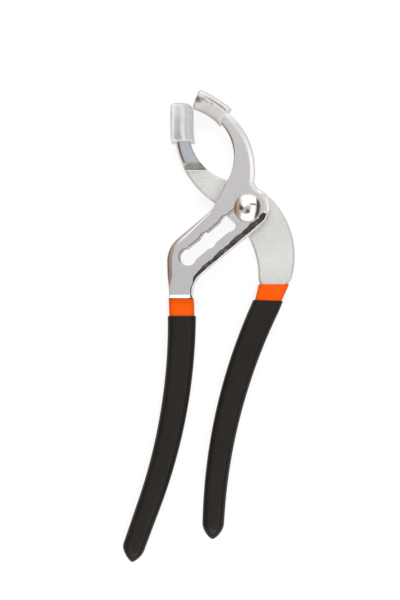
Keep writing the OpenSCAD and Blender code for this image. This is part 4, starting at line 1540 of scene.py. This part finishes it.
@dataclass
class JawCaps:
    """The two soft caps, each a cup moulded to its jaw."""

    finishes: Wardrobe
    slotted: SlottedHalf
    plain: PlainHalf
    shape: CapShape = field(default_factory=CapShape)
    slotted_grip: float = 1.2
    plain_grip: float = 2.2
    slotted_corner: float = 3.0
    plain_corner: float = 5.0
    tip_gap: float = 0.35
    end_grow: float = 1.1
    end_slant: float = 1.8
    plain_more: float = 1.2
    mouth_slant: float = 1.5
    slant_run: float = 7.0
    grow_run: float = 14.0
    end_run: float = 8.0
    slotted_steps: int = 14
    plain_steps: int = 18

    @property
    def mid_r(self) -> float:
        """Radius of the middle of the slotted jaw's tip."""
        return float(self.slotted.grip_r(self.slotted.tip_a)) + self.slotted.tip_w / 2

    @property
    def end_a(self) -> float:
        """Angle of the slotted cap's closed end."""
        return self.slotted.tip_a + degrees(self.shape.end / self.mid_r)

    def closing_turn(self) -> float:
        """Work out the turn of the plain half that leaves the set gap between the caps' corners.

        Returns:
            The turn in degrees.
        """
        r = float(self.slotted.grip_r(self.slotted.tip_a)) - self.slotted_grip + self.slotted_corner
        a = self.end_a - degrees(asin(self.slotted_corner / r))
        p = np.array(self.slotted.centre) + r * heading(a)
        cx, cy = self.plain.centre
        q = np.array([cx - self.plain.jaw_r + self.plain_grip, cy + self.plain.tip_len + self.shape.end])
        q = q - self.plain_corner
        reach = self.plain_corner + self.slotted_corner + self.tip_gap
        across = (p @ p + q @ q - reach ** 2) / (2 * np.linalg.norm(p) * np.linalg.norm(q))
        bearing = degrees(atan2(p[1], p[0]) - atan2(q[1], q[0]))
        return bearing + degrees(acos(across))

    def wall(self, right: Array, left: Array, d: float, walls: tuple[float, float],
             rounds: Sequence[float]) -> Array:
        """Lay a ring of a cap's outer wall.

        Args:
            right: Right edge of the jaw.
            left: Left edge of the jaw.
            d: Distance from the closed end.
            walls: Thickness of the right wall and of the left wall.
            rounds: Corner rounds of the section, then the end's right and left corner rounds.

        Returns:
            The ring.
        """
        e = (left - right) / np.linalg.norm(left - right)
        z_in = inset(d, self.shape.back_round)
        *edges, end_right, end_left = rounds
        room = self.shape.face + self.shape.round_room - z_in
        return section(right - e * (walls[0] - inset(d, end_right)),
                       left + e * (walls[1] - inset(d, end_left)),
                       flat(LEVELS.front + self.shape.face - z_in),
                       flat(LEVELS.front_back - self.shape.face + z_in),
                       [rounded(k) for k in np.minimum(edges, room)])

    def hole(self, right: Array, left: Array, corners: Sequence[Array]) -> Array:
        """Lay a ring of a cap's hole, a hair outside the jaw.

        Args:
            right: Right edge of the jaw.
            left: Left edge of the jaw.
            corners: The jaw's four corners.

        Returns:
            The ring.
        """
        e = (left - right) / np.linalg.norm(left - right)
        return section(right - e * self.shape.gap, left + e * self.shape.gap,
                       flat(LEVELS.front + self.shape.gap), flat(LEVELS.front_back - self.shape.gap), corners)

    def cup(self, name: str, outside: list[Array], inside: list[Array]) -> Mesh:
        """Skin a cap and write each point's place across and along it.

        Args:
            name: Name of the mesh.
            outside: Rings of the outer wall, from the mouth.
            inside: Rings of the hole, from the mouth.

        Returns:
            The cap's mesh.
        """
        mesh = mesh_of(name, *shell(outside, inside))
        mesh.flip_normals()  # the rings run the other way round than a lever's
        places, m = [], len(outside[0])
        thick = LEVELS.plate + 2 * self.shape.face
        for wall in (outside, inside):
            runs = np.cumsum([0.0] + [np.linalg.norm((b - a).mean(axis=0)) for a, b in zip(wall, wall[1:])])
            for ring, run in zip(wall, runs):
                first = np.roll(ring, m // 4, axis=0)[:m // 2]
                way = ring[m // 4:m * 3 // 4].mean(axis=0) - first.mean(axis=0)
                t = ring @ way
                across = (t - t.min()) / (np.ptp(t) + LEAST)
                places.append(np.column_stack([across, np.full(m, run / self.shape.length),
                                               (LEVELS.front + self.shape.face - ring[:, 2]) / thick]))
        mesh.attributes.new("cap_place", "FLOAT_VECTOR", "POINT").data.foreach_set(
            "vector", np.concatenate(places).ravel())
        return set_normals(mesh, self.shape.sharp)

    def build_slotted(self) -> None:
        """Mould the cap of the slotted jaw."""
        lever, cap = self.slotted, self.shape
        mouth_a = self.end_a - degrees(cap.length / self.mid_r)
        to_angle = degrees(1 / self.mid_r)
        corner = self.slotted_corner
        spots = cap.spots(cap.length, corner, self.slotted_steps)
        rounds = (cap.back_round, cap.grip_round, cap.grip_round, cap.back_round, cap.back_corner, corner)
        front_right, front_left, *low = lever.corners(0)

        def slanted(ring: Array, a: float, run: float) -> Array:
            """Lean a ring near the mouth and hollow it.

            Args:
                ring: The ring.
                a: Its angle round the jaw's centre.
                run: Its distance from the mouth.

            Returns:
                The leaning ring.
            """
            out = (ring[:, :2] - lever.inner(np.array([a]))[0]) @ heading(a) / lever.tip_w
            lean = self.mouth_slant * (out - 0.5) * smooth(1 - run / self.slant_run)
            ring[:, :2] += lean[:, None] * heading(a + 90)
            return cap.hollow(ring, heading(a + 90), run)

        def skin(d: float) -> Array:
            """Lay a ring of the outer wall, thicker and slanted towards the closed end.

            Args:
                d: Distance from the closed end.

            Returns:
                The ring.
            """
            a = self.end_a - d * to_angle
            one = np.array([a])
            thick = cap.back + self.end_grow * smooth(1 - d / self.grow_run)
            wall = self.wall(lever.outer(one)[0], lever.inner(one)[0], d, (thick, self.slotted_grip), rounds)
            out = np.clip((wall[:, :2] - lever.inner(one)[0]) @ heading(a) / lever.tip_w, 0, 1)
            wall[:, :2] -= (self.end_slant * smooth(1 - d / self.end_run) * out)[:, None] * heading(a + 90)
            return slanted(wall, a, cap.length - d)

        def bore(a: float) -> Array:
            """Lay a ring of the hole.

            Args:
                a: Its angle round the jaw's centre.

            Returns:
                The ring.
            """
            one = np.array([a])
            hole = self.hole(lever.outer(one)[0], lever.inner(one)[0], (front_left, front_right, *low))
            return slanted(hole, a, (a - mouth_a) / to_angle)

        outside = [skin(d) for d in spots]
        inside = [bore(a) for a in np.linspace(mouth_a, lever.tip_a + cap.gap * to_angle, cap.ring_n)]
        mesh = self.cup("slotted_cap_moulding", outside, inside)
        add_piece("slotted_cap_moulding", mesh, [self.finishes.slim_cap],
                  lever.body, "slotted_jaw_cap")

    def build_plain(self) -> None:
        """Mould the cap of the plain jaw."""
        lever, cap = self.plain, self.shape
        cx, cy = lever.centre
        end_y = cy + lever.tip_len + cap.end
        outer_r = lever.jaw_r + lever.tip_w
        mouth_a = 180 + degrees(asin((cy - end_y + cap.length + self.plain_more) / outer_r))
        mouth_y = float(lever.outer(np.array([mouth_a]))[0][1])
        corner = self.plain_corner
        rounds = (cap.grip_round, cap.back_round, cap.back_round, cap.grip_round, corner, cap.back_corner)
        way = heading(mouth_a - 90)

        def sides(y: float) -> tuple[Array, Array]:
            """Give the jaw's two edges.

            Args:
                y: Height on the jaw.

            Returns:
                Point of the gripping edge and of the outer edge.
            """
            grip = np.array([cx - lever.jaw_r, y]) if y > cy else lever.inner(np.array([y]))[0]
            a = 180 + degrees(asin(max(0.0, cy - y) / outer_r))
            x = lever.outer(np.array([a]))[0][0] if y <= cy else cx - outer_r
            return grip, np.array([x, y])

        length = end_y - mouth_y
        walls = (self.plain_grip, cap.back)
        outside = [cap.hollow(self.wall(*sides(end_y - d), d, walls, rounds), way, length - d)
                   for d in cap.spots(length, corner, self.plain_steps)]
        cheek, grip, *low = lever.corners(cy)
        inside = [cap.hollow(self.hole(*sides(y), (grip, cheek, *low)), way, y - mouth_y)
                  for y in np.linspace(mouth_y, cy + lever.tip_len + cap.gap, cap.ring_n)]
        mesh = self.cup("plain_cap_moulding", [turned(r, lever.turn) for r in outside],
                        [turned(r, lever.turn) for r in inside])
        add_piece("plain_cap_moulding", mesh, [self.finishes.wide_cap],
                  lever.body, "plain_jaw_cap")


@dataclass
class Pivot:
    """The bolt and its nut."""

    finishes: Wardrobe
    body: str = "pivot"
    head_d: float = 15.0
    rim: float = 0.9
    dome: float = 2.7
    edge: float = 0.35
    thread_d: float = 6.0
    end: float = 0.25
    recess: float = 0.4
    nut_af: float = 10.0
    nut_h: float = 3.2
    hole_share: float = 0.275
    thread_bevel: float = 0.4
    hair: float = 1e-3
    rim_round: tuple[tuple[float, float], ...] = ((0.25, 0.0), (0.06, 0.07), (0.0, 0.28))
    dome_share: float = 0.985
    dome_n: int = 40
    nut_n: int = 9
    nut_a: float = 30.0
    nut_round: float = 0.15
    nut_bevel: float = 0.35
    bolt_sharp: float = 34.0
    nut_sharp: float = 28.0
    nut_steps: int = 120

    def build_bolt(self) -> None:
        """Turn the bolt: recess, thread, journal, two flats and a domed head."""
        z_head, r_head = LEVELS.head, self.head_d / 2
        dome_r = (r_head ** 2 + self.dome ** 2) / (2 * self.dome)
        z_mid = z_head + self.rim + self.dome - dome_r
        r_hole, r_thread, r_body = self.thread_d * self.hole_share, self.thread_d / 2, SLOT.pivot / 2
        floor, bevel = self.end + self.recess, self.thread_bevel
        profile = [(0, floor), (r_hole, floor), (r_hole, self.end), (r_thread - bevel, self.end),
                   (r_thread, self.end + bevel), (r_thread, self.nut_h), (r_body, self.nut_h),
                   (r_body, LEVELS.lap), (r_body, LEVELS.lap + self.hair), (r_body, z_head - self.hair),
                   (r_body, z_head), *((r_head - back, z_head + up) for back, up in self.rim_round),
                   (r_head, z_head + self.rim - self.edge)]
        rise = asin(r_head / dome_r)
        for share in np.linspace(self.dome_share, 0, self.dome_n):
            profile.append((dome_r * sin(rise * share), z_mid + dome_r * cos(rise * share)))
        half = (SLOT.neck - 2 * SLOT.flat_clear) / 2

        def flats(ring: Array, radius: float, height: float) -> Array:
            """Cut the two flats that pass the slot's necks.

            Args:
                ring: Points of a round ring.
                radius: Its radius.
                height: Its height.

            Returns:
                The ring with its flats.
            """
            if not LEVELS.lap < height < z_head:
                return ring
            local = turned(ring, -SLOT.heading)
            local[:, 1] = np.clip(local[:, 1], -half, half)
            return turned(local, SLOT.heading)

        skin = revolve(profile, ROUND_STEPS, flats)
        mesh = set_normals(mesh_of("pivot_bolt_turned", *skin), self.bolt_sharp)
        add_piece("pivot_bolt_turned", mesh, [self.finishes.chrome], self.body, "pivot_bolt")

    def build_nut(self) -> None:
        """Make the thin nut with both faces bevelled and its bore countersunk."""
        wide = self.nut_af / 2 / cos(radians(self.nut_a))
        face = self.nut_af / 2 - self.nut_round
        drop = (wide - face) * tan(radians(self.nut_a))
        r_bore, bevel = self.thread_d / 2 + SLOT.clear, self.nut_bevel
        rises = np.linspace(0, 1, self.nut_n)
        lower = [(lerp(face, wide, t), drop * t) for t in rises]
        upper = [(lerp(wide, face, t), self.nut_h - drop * (1 - t)) for t in rises]
        profile = [(r_bore, bevel), (r_bore + bevel, 0.0), *lower, *upper, (r_bore + bevel, self.nut_h),
                   (r_bore, self.nut_h - bevel), (r_bore, bevel)]

        def hexagon(ring: Array, radius: float, height: float) -> Array:
            """Cut the nut's six sides.

            Args:
                ring: Points of a round ring.
                radius: Its radius.
                height: Its height.

            Returns:
                The ring within the hexagon.
            """
            if radius < face - TINY:
                return ring
            turn = np.degrees(np.arctan2(ring[:, 1], ring[:, 0])) % (2 * self.nut_a) - self.nut_a
            limit = self.nut_af / 2 / np.cos(np.radians(turn))
            shaped = ring.copy()
            shaped[:, :2] *= np.minimum(1, limit / radius)[:, None]
            return shaped

        skin = revolve(profile, self.nut_steps, hexagon)
        mesh = set_normals(mesh_of("pivot_nut_bevelled", *skin), self.nut_sharp)
        add_piece("pivot_nut_bevelled", mesh, [self.finishes.zinc], self.body, "pivot_nut")


@dataclass(frozen=True)
class Station:
    """One ring of a dip layer.

    Attributes:
        run: Length from the handle's top.
        grow: Distance of the ring from the bar.
        keep: Share of its width that is kept, less than one in the nose.
        keep_up: Share of its height that is kept.
        inside: Whether the ring is on the layer's inner wall.
        shift: Distance by which the ring is moved to the right.
        wide: Distance by which its sides stand out further.
    """

    run: float
    grow: float
    keep: float = 1.0
    keep_up: float = 1.0
    inside: bool = False
    shift: float = 0.0
    wide: float = 0.0


STATION_DATA = {"spot": "FLOAT_VECTOR", "way": "FLOAT_VECTOR", "half": "FLOAT_VECTOR", "corner": "FLOAT",
                "lean": "FLOAT", "inside": "BOOLEAN"}


@dataclass
class DipLayers:
    """The two dip layers of a handle: an inner sleeve whose collar shows, and the grip over it."""

    finishes: Wardrobe
    handle: Handle
    body: str
    prefix: str
    turn: float = 0.0
    inner: float = 0.5
    outer: float = 0.75
    gap: float = 0.05
    nose: float = 8.9
    nose_power: float = 0.74
    nose_lean: float = 0.0
    fuller: float = 0.15
    fill_run: float = 60.0
    nose_side: float = 1.85
    nose_up: float = 3.0
    nose_room: float = 0.3
    lip: float = 0.45
    hole_end: float = 0.1
    corner_share: float = 0.95
    lip_n: int = 8
    side_n: int = 110
    nose_n: int = 28
    hole_n: int = 60
    round_steps: int = 8
    sharp: float = 50.0

    @staticmethod
    def tree() -> NodeTree:
        """Build the tree that sweeps a rounded ring along a handle, each ring at its station's own size.

        Returns:
            The tree, whose named inputs are the ring's rounding in metres and the finish.
        """
        found = bpy.data.node_groups.get("dipped_layer")
        if found is not None:
            return found
        tree, known = new_tree("dipped_layer", {
            "Round": "Float", "Round Steps": "Int", "Material": "Material"})
        for name, kind in STATION_DATA.items():
            known[name] = add_node(tree, "GeometryNodeInputNamedAttribute", {"Name": name}, data_type=kind)
        known["here"] = add_node(tree, "GeometryNodeInputPosition")
        path = add_node(tree, "GeometryNodeMeshToCurve", {"Mesh": known["Geometry"]})
        upright = add_node(tree, "GeometryNodeSetCurveNormal", {"Curve": path}, mode="Z_UP")
        size = add_node(tree, "ShaderNodeMath", (known["Round"], 4.0), operation="MULTIPLY")
        square = add_node(tree, "GeometryNodeCurvePrimitiveQuadrilateral", {"Width": size, "Height": size})
        outline = add_node(tree, "GeometryNodeFilletCurve", {
            "Curve": square, "Count": known["Round Steps"], "Radius": known["Round"]}, mode="POLY")
        swept = add_node(tree, "GeometryNodeCurveToMesh", {"Curve": upright, "Profile Curve": outline})
        add_sums(tree, known, "ShaderNodeVectorMath", ("apart", "SUBTRACT", "here", "spot"),
                 ("side", "CROSS_PRODUCT", "way", (0.0, 0.0, 1.0)),
                 ("across", "DOT_PRODUCT", "apart", "side"))
        rise = add_node(tree, "ShaderNodeSeparateXYZ", (known["apart"],)).outputs["Z"]
        known["section"] = add_node(tree, "ShaderNodeCombineXYZ", (known["across"], rise))
        add_sums(tree, known, "ShaderNodeMath", ("share", "DIVIDE", "corner", "Round"))
        add_sums(tree, known, "ShaderNodeVectorMath", ("signs", "SIGN", "section"),
                 ("reach", "ABSOLUTE", "section"), ("in round", "SUBTRACT", "reach", "Round"),
                 ("rounded", "MULTIPLY", "in round", "share"), ("core", "SUBTRACT", "half", "corner"),
                 ("sized", "ADD", "core", "rounded"), ("set out", "MULTIPLY", "sized", "signs"))
        part = add_node(tree, "ShaderNodeSeparateXYZ", (known["set out"],)).outputs
        known["out"] = part["X"]
        known["up"] = add_node(tree, "ShaderNodeCombineXYZ", {"Z": part["Y"]})
        add_sums(tree, known, "ShaderNodeMath", ("slant", "MULTIPLY", "out", "lean"))
        add_sums(tree, known, "ShaderNodeVectorMath",
                 ("on side", "MULTIPLY", "side", "out"), ("on way", "MULTIPLY", "way", "slant"),
                 ("level", "ADD", "on side", "on way"), ("raised", "ADD", "level", "up"),
                 ("final", "ADD", "raised", "spot"))
        moved = add_node(tree, "GeometryNodeSetPosition", {"Geometry": swept, "Position": known["final"]})
        inward = add_node(tree, "GeometryNodeFlipFaces", {"Mesh": moved, "Selection": known["inside"]})
        closed = add_node(tree, "GeometryNodeMergeByDistance", {"Geometry": inward, "Distance": NEAR})
        end_tree(tree, closed, known["Material"])
        return tree

    def walls(self, start: float, low: float, high: float, end: float, nose: float) -> list[list[Station]]:
        """Lay the stations of a layer's outer wall and inner wall.

        Args:
            start: Length from the handle's top at which the layer starts.
            low: Distance of the inner wall from the bar.
            high: Distance of the outer wall from the bar.
            end: Length at which the hole ends.
            nose: Length of the rounded end.

        Returns:
            Outer and inner stations.
        """
        outside, full = [], self.fuller * (nose == self.nose)
        for x in np.linspace(0, 1, self.lip_n):
            thin = (high - low) * (1 - sqrt(1 - (1 - x) ** 2))
            outside.append(Station(start + self.lip * x, high - thin))
        for run in np.linspace(start + self.lip, end, self.side_n)[1:]:
            outside.append(Station(run, high, wide=full * smooth((run - start) / self.fill_run)))
        for t in np.sin(np.linspace(0, pi / 2, self.nose_n))[1:]:
            outside.append(Station(end + nose * t, high, (1 - t ** self.nose_side) ** self.nose_power,
                                   (1 - t ** self.nose_up) ** 0.5,
                                   shift=self.nose_lean * t * t * nose / self.nose, wide=full))
        inside = [Station(s, low, inside=True) for s in np.linspace(start, end - self.hole_end, self.hole_n)]
        inside.append(Station(end, low, 0.0, 0.0, True))
        return [outside, inside]

    def sweep(self, name: str, walls: list[list[Station]], material: Material) -> Mesh:
        """Sweep a layer along its handle.

        Args:
            name: Name of the mesh.
            walls: Stations of the outer wall and of the inner wall.
            material: Finish of the layer.

        Returns:
            The layer's mesh.
        """
        bar, stations = self.handle, [s for wall in walls for s in wall]
        data: dict[str, list[Any]] = {label: [] for label in STATION_DATA}
        for station in stations:
            s = station.run
            here = bar.heading_at(s)
            spot = np.array([[*bar.point(s), LEVELS.bar_mid]]) + (station.shift, 0, 0)
            half = np.array([(bar.half(s) + station.grow + station.wide) * station.keep,
                             (LEVELS.bar / 2 + station.grow) * station.keep_up, 0.0])
            data["spot"].append(turned(spot, self.turn)[0] * MM)
            data["way"].append((*heading(here + self.turn), 0.0))
            data["lean"].append(tan(radians(bar.cut_a(s) - here)))
            data["half"].append(half * MM)
            data["corner"].append(min(bar.bar_round + station.grow, *(half[:2] * self.corner_share)) * MM)
            data["inside"].append(station.inside)
        edges, first = [], 0
        for wall in walls:
            edges += [(first + i, first + i + 1) for i in range(len(wall) - 1)]
            first += len(wall)
        mesh = bpy.data.meshes.new(name + "_path")
        mesh.from_pydata([tuple(p) for p in data["spot"]], edges, [])
        for label, kind in STATION_DATA.items():
            layer = mesh.attributes.new(label, kind, "POINT").data
            layer.foreach_set("vector" if kind == "FLOAT_VECTOR" else "value", np.array(data[label]).ravel())
        sizes = {"Round": bar.bar_round * MM, "Round Steps": self.round_steps, "Material": material}
        done = grown(placed(name + "_path", mesh), self.tree(), sizes, name)
        for label in STATION_DATA:
            left = done.attributes.get(label)
            if left is not None:
                done.attributes.remove(left)
        return set_normals(done, self.sharp)

    def build(self) -> None:
        """Sweep both layers and put them in place."""
        bar = self.handle
        over = self.gap + self.inner
        low, end = over + self.gap, bar.length + over + self.gap + self.nose_room
        sleeve = self.walls(0.0, self.gap, over, bar.length + self.gap, self.inner)
        grip = self.walls(bar.collar, low, low + self.outer, end, self.nose)
        for walls, finish, piece, slot, node in (
                (sleeve, self.finishes.orange, "_sleeve_dipped", "orange_dip", "_inner_sleeve"),
                (grip, self.finishes.black, "_grip_dipped", "black_dip", "_grip")):
            mesh = self.sweep(self.prefix + piece, walls, finish)
            add_piece(self.prefix + piece, mesh, [finish], self.body, self.prefix + node)


@dataclass
class Studio:
    """Soft tent of light with a few dark gaps, a pale floor and a camera straight above.

    Attributes:
        eye: Place of the camera.
        lens: Its focal length.
        sensor: Height of its picture.
        clip: Nearest and farthest distance that it sees, in metres.
        floor_drop: Depth of the floor under the tool.
        floor_half: Half the floor's width.
        floor_tone: Colour of the floor.
        floor_glow: Share of white that the floor shows by itself.
        lamps: Place and power in watts of each soft box.
        box: Width and height of a soft box, in metres.
        aim: Point on the tool that the soft boxes face.
        right_tones: Tones of the tent towards the right, where a dark flag hangs.
        left_tones: Tones of the tent towards the left.
        hem: Tone of the tent's lower border.
        shades: Direction, full reach, outer reach and tone of each gap in the tent.
    """

    eye: tuple[float, float, float] = (-25.53, -48.94, 1508.45)
    lens: float = 169.2
    sensor: float = 36.0
    clip: tuple[float, float] = (0.01, 10.0)
    floor_drop: float = 0.2
    floor_half: float = 1500.0
    floor_tone: str = "#808080"
    floor_glow: float = 0.83
    lamps: tuple[tuple[tuple[float, float, float], float], ...] = (
        ((-20.0, 330.0, 430.0), 0.66), ((-20.0, -430.0, 360.0), 0.56))
    box: tuple[float, float] = (0.26, 0.2)
    aim: tuple[float, float, float] = (0.0, -40.0, 8.0)
    right_tones: tuple[tuple[float, str], ...] = (
        (0.62, "#ffffff"), (0.72, "#474340"), (0.86, "#433e3b"), (0.95, "#b8a594"))
    left_tones: tuple[tuple[float, str], ...] = (
        (0.45, "#ffffff"), (0.66, "#b4a295"), (0.88, "#9c8171"), (0.97, "#6a4c41"))
    hem: str = "#c4bdb6"
    shades: tuple[tuple[tuple[float, float, float], float, float, float], ...] = (
        ((-0.64, 0.22, 0.73), 0.04, 0.2, 0.35),
        ((-0.576, -0.02, 0.817), 0.1, 0.3, 0.1), ((-0.32, -0.22, 0.92), 0.17, 0.42, 0.45),
        ((0.0, -0.32, 0.947), 0.1, 0.27, 0.1), ((-0.2, -0.48, 0.85), 0.05, 0.24, 0.5),
        ((0.2, 0.32, 0.926), 0.04, 0.12, 0.2), ((0.3, 0.32, 0.899), 0.04, 0.12, 0.12),
        ((0.4, 0.32, 0.859), 0.04, 0.12, 0.1), ((0.5, 0.31, 0.809), 0.04, 0.12, 0.1),
        ((0.6, 0.29, 0.745), 0.04, 0.12, 0.1))

    def light(self) -> None:
        """Light the tent: a pale dome, dimmer where the camera stands, with a dark flag on the right."""
        world = bpy.data.worlds.new("light_tent")
        bpy.context.scene.world = world
        world.use_nodes = True
        tree = world.node_tree
        tree.nodes.clear()
        way = add_node(tree, "ShaderNodeTexCoord").outputs["Generated"]
        part = add_node(tree, "ShaderNodeSeparateXYZ", (way,)).outputs
        level = add_node(tree, "ShaderNodeMapRange", (part["Z"], 0.94, 0.985, 1.28, 0.64), **EASED)
        known: Known = {"x": part["X"], "y": part["Y"]}
        add_sums(tree, known, "ShaderNodeMath",
                 ("bowed", "MULTIPLY_ADD", "y", 0.25, -0.08), ("tilt", "MULTIPLY", "y", "bowed"),
                 ("across", "ADD", "x", "tilt"), ("leftward", "MULTIPLY", "x", -1.0))
        flag = add_node(tree, "ShaderNodeValToRGB", (known["across"],), self.right_tones)
        left = add_node(tree, "ShaderNodeValToRGB", (known["leftward"],), self.left_tones)
        raised = add_node(tree, "ShaderNodeMapRange", (part["Z"], 0.22, 0.42, 0.0, 1.0), **EASED)
        hung = add_node(tree, "ShaderNodeMix", {"Factor": raised, "A": linear(self.hem), "B": flag}, **COLOUR)
        warm = add_node(tree, "ShaderNodeMix", {"Factor": 1.0, "A": hung, "B": left},
                        blend_type="MULTIPLY", **COLOUR)
        for spot, full, reach, tone in self.shades:
            apart = add_node(tree, "ShaderNodeVectorMath", (way, Vector(spot).normalized()),
                             operation="DISTANCE")
            shade = add_node(tree, "ShaderNodeMapRange", (apart, full, reach, tone, 1.0), **EASED)
            level = add_node(tree, "ShaderNodeMath", (level, shade), operation="MULTIPLY")
        tent = add_node(tree, "ShaderNodeBackground", {"Color": warm, "Strength": level})
        plain = add_node(tree, "ShaderNodeBackground", {"Color": linear("#ffffff"), "Strength": 1.0})
        seen = add_node(tree, "ShaderNodeLightPath").outputs["Is Camera Ray"]
        mixed = add_node(tree, "ShaderNodeMixShader", (seen, tent, plain))
        add_node(tree, "ShaderNodeOutputWorld", {"Surface": mixed})
        for place, power in self.lamps:
            lamp = bpy.data.lights.new("soft_box", "AREA")
            lamp.shape, lamp.size, lamp.size_y = "RECTANGLE", *self.box
            lamp.energy = power
            box = placed("soft_box", lamp)
            box.location = Vector(place) * MM
            box.rotation_euler = (Vector(self.aim) * MM - box.location).to_track_quat("-Z", "Y").to_euler()

    def lay_floor(self) -> None:
        """Lay the pale floor under the tool."""
        half, z = self.floor_half, -self.floor_drop
        points = np.array([(-half, -half, z), (half, -half, z), (half, half, z), (-half, half, z)])
        floor = placed("floor", mesh_of("floor", points, [(0, 1, 2, 3)]))
        material = bpy.data.materials.new("pale_paper_floor")
        material.use_nodes = True
        tree = material.node_tree
        tree.nodes.clear()
        paper = add_node(tree, "ShaderNodeBsdfDiffuse", {"Color": linear(self.floor_tone)})
        rays = add_node(tree, "ShaderNodeLightPath").outputs
        known: Known = {ray.name: ray for ray in rays}
        add_sums(tree, known, "ShaderNodeMath", ("first", "MAXIMUM", "Is Camera Ray", "Is Glossy Ray"),
                 ("seen", "MAXIMUM", "first", "Is Transmission Ray"),
                 ("level", "MULTIPLY", "seen", self.floor_glow))
        glow = add_node(tree, "ShaderNodeEmission", {"Color": linear("#ffffff"), "Strength": known["level"]})
        both = add_node(tree, "ShaderNodeAddShader", (paper, glow))
        add_node(tree, "ShaderNodeOutputMaterial", {"Surface": both})
        floor.data.materials.append(material)

    def set_camera(self) -> None:
        """Hang the camera straight above the tool."""
        lens = bpy.data.cameras.new("camera")
        lens.sensor_fit, lens.sensor_height, lens.lens = "VERTICAL", self.sensor, self.lens
        lens.clip_start, lens.clip_end = self.clip
        camera = placed("camera", lens)
        camera.location = Vector(self.eye) * MM
        bpy.context.scene.camera = camera


def main() -> None:
    """Build the tool, its light and its camera."""
    logging.basicConfig(level=logging.INFO, format="%(message)s")
    bpy.context.scene.view_settings.view_transform = "Standard"
    studio = Studio()
    studio.light()
    studio.lay_floor()
    studio.set_camera()
    finishes = Wardrobe()
    slotted, plain = SlottedHalf(finishes), PlainHalf(finishes)
    caps = JawCaps(finishes, slotted, plain)
    plain.turn = caps.closing_turn()
    slotted.build_lever()
    plain.build_lever()
    pivot = Pivot(finishes)
    pivot.build_bolt()
    pivot.build_nut()
    caps.build_slotted()
    caps.build_plain()
    DipLayers(finishes, slotted.handle, slotted.body, "slotted", nose_lean=1.7, fuller=0.25).build()
    DipLayers(finishes, plain.handle, plain.body, "plain", plain.turn).build()


if __name__ == "__main__":
    main()
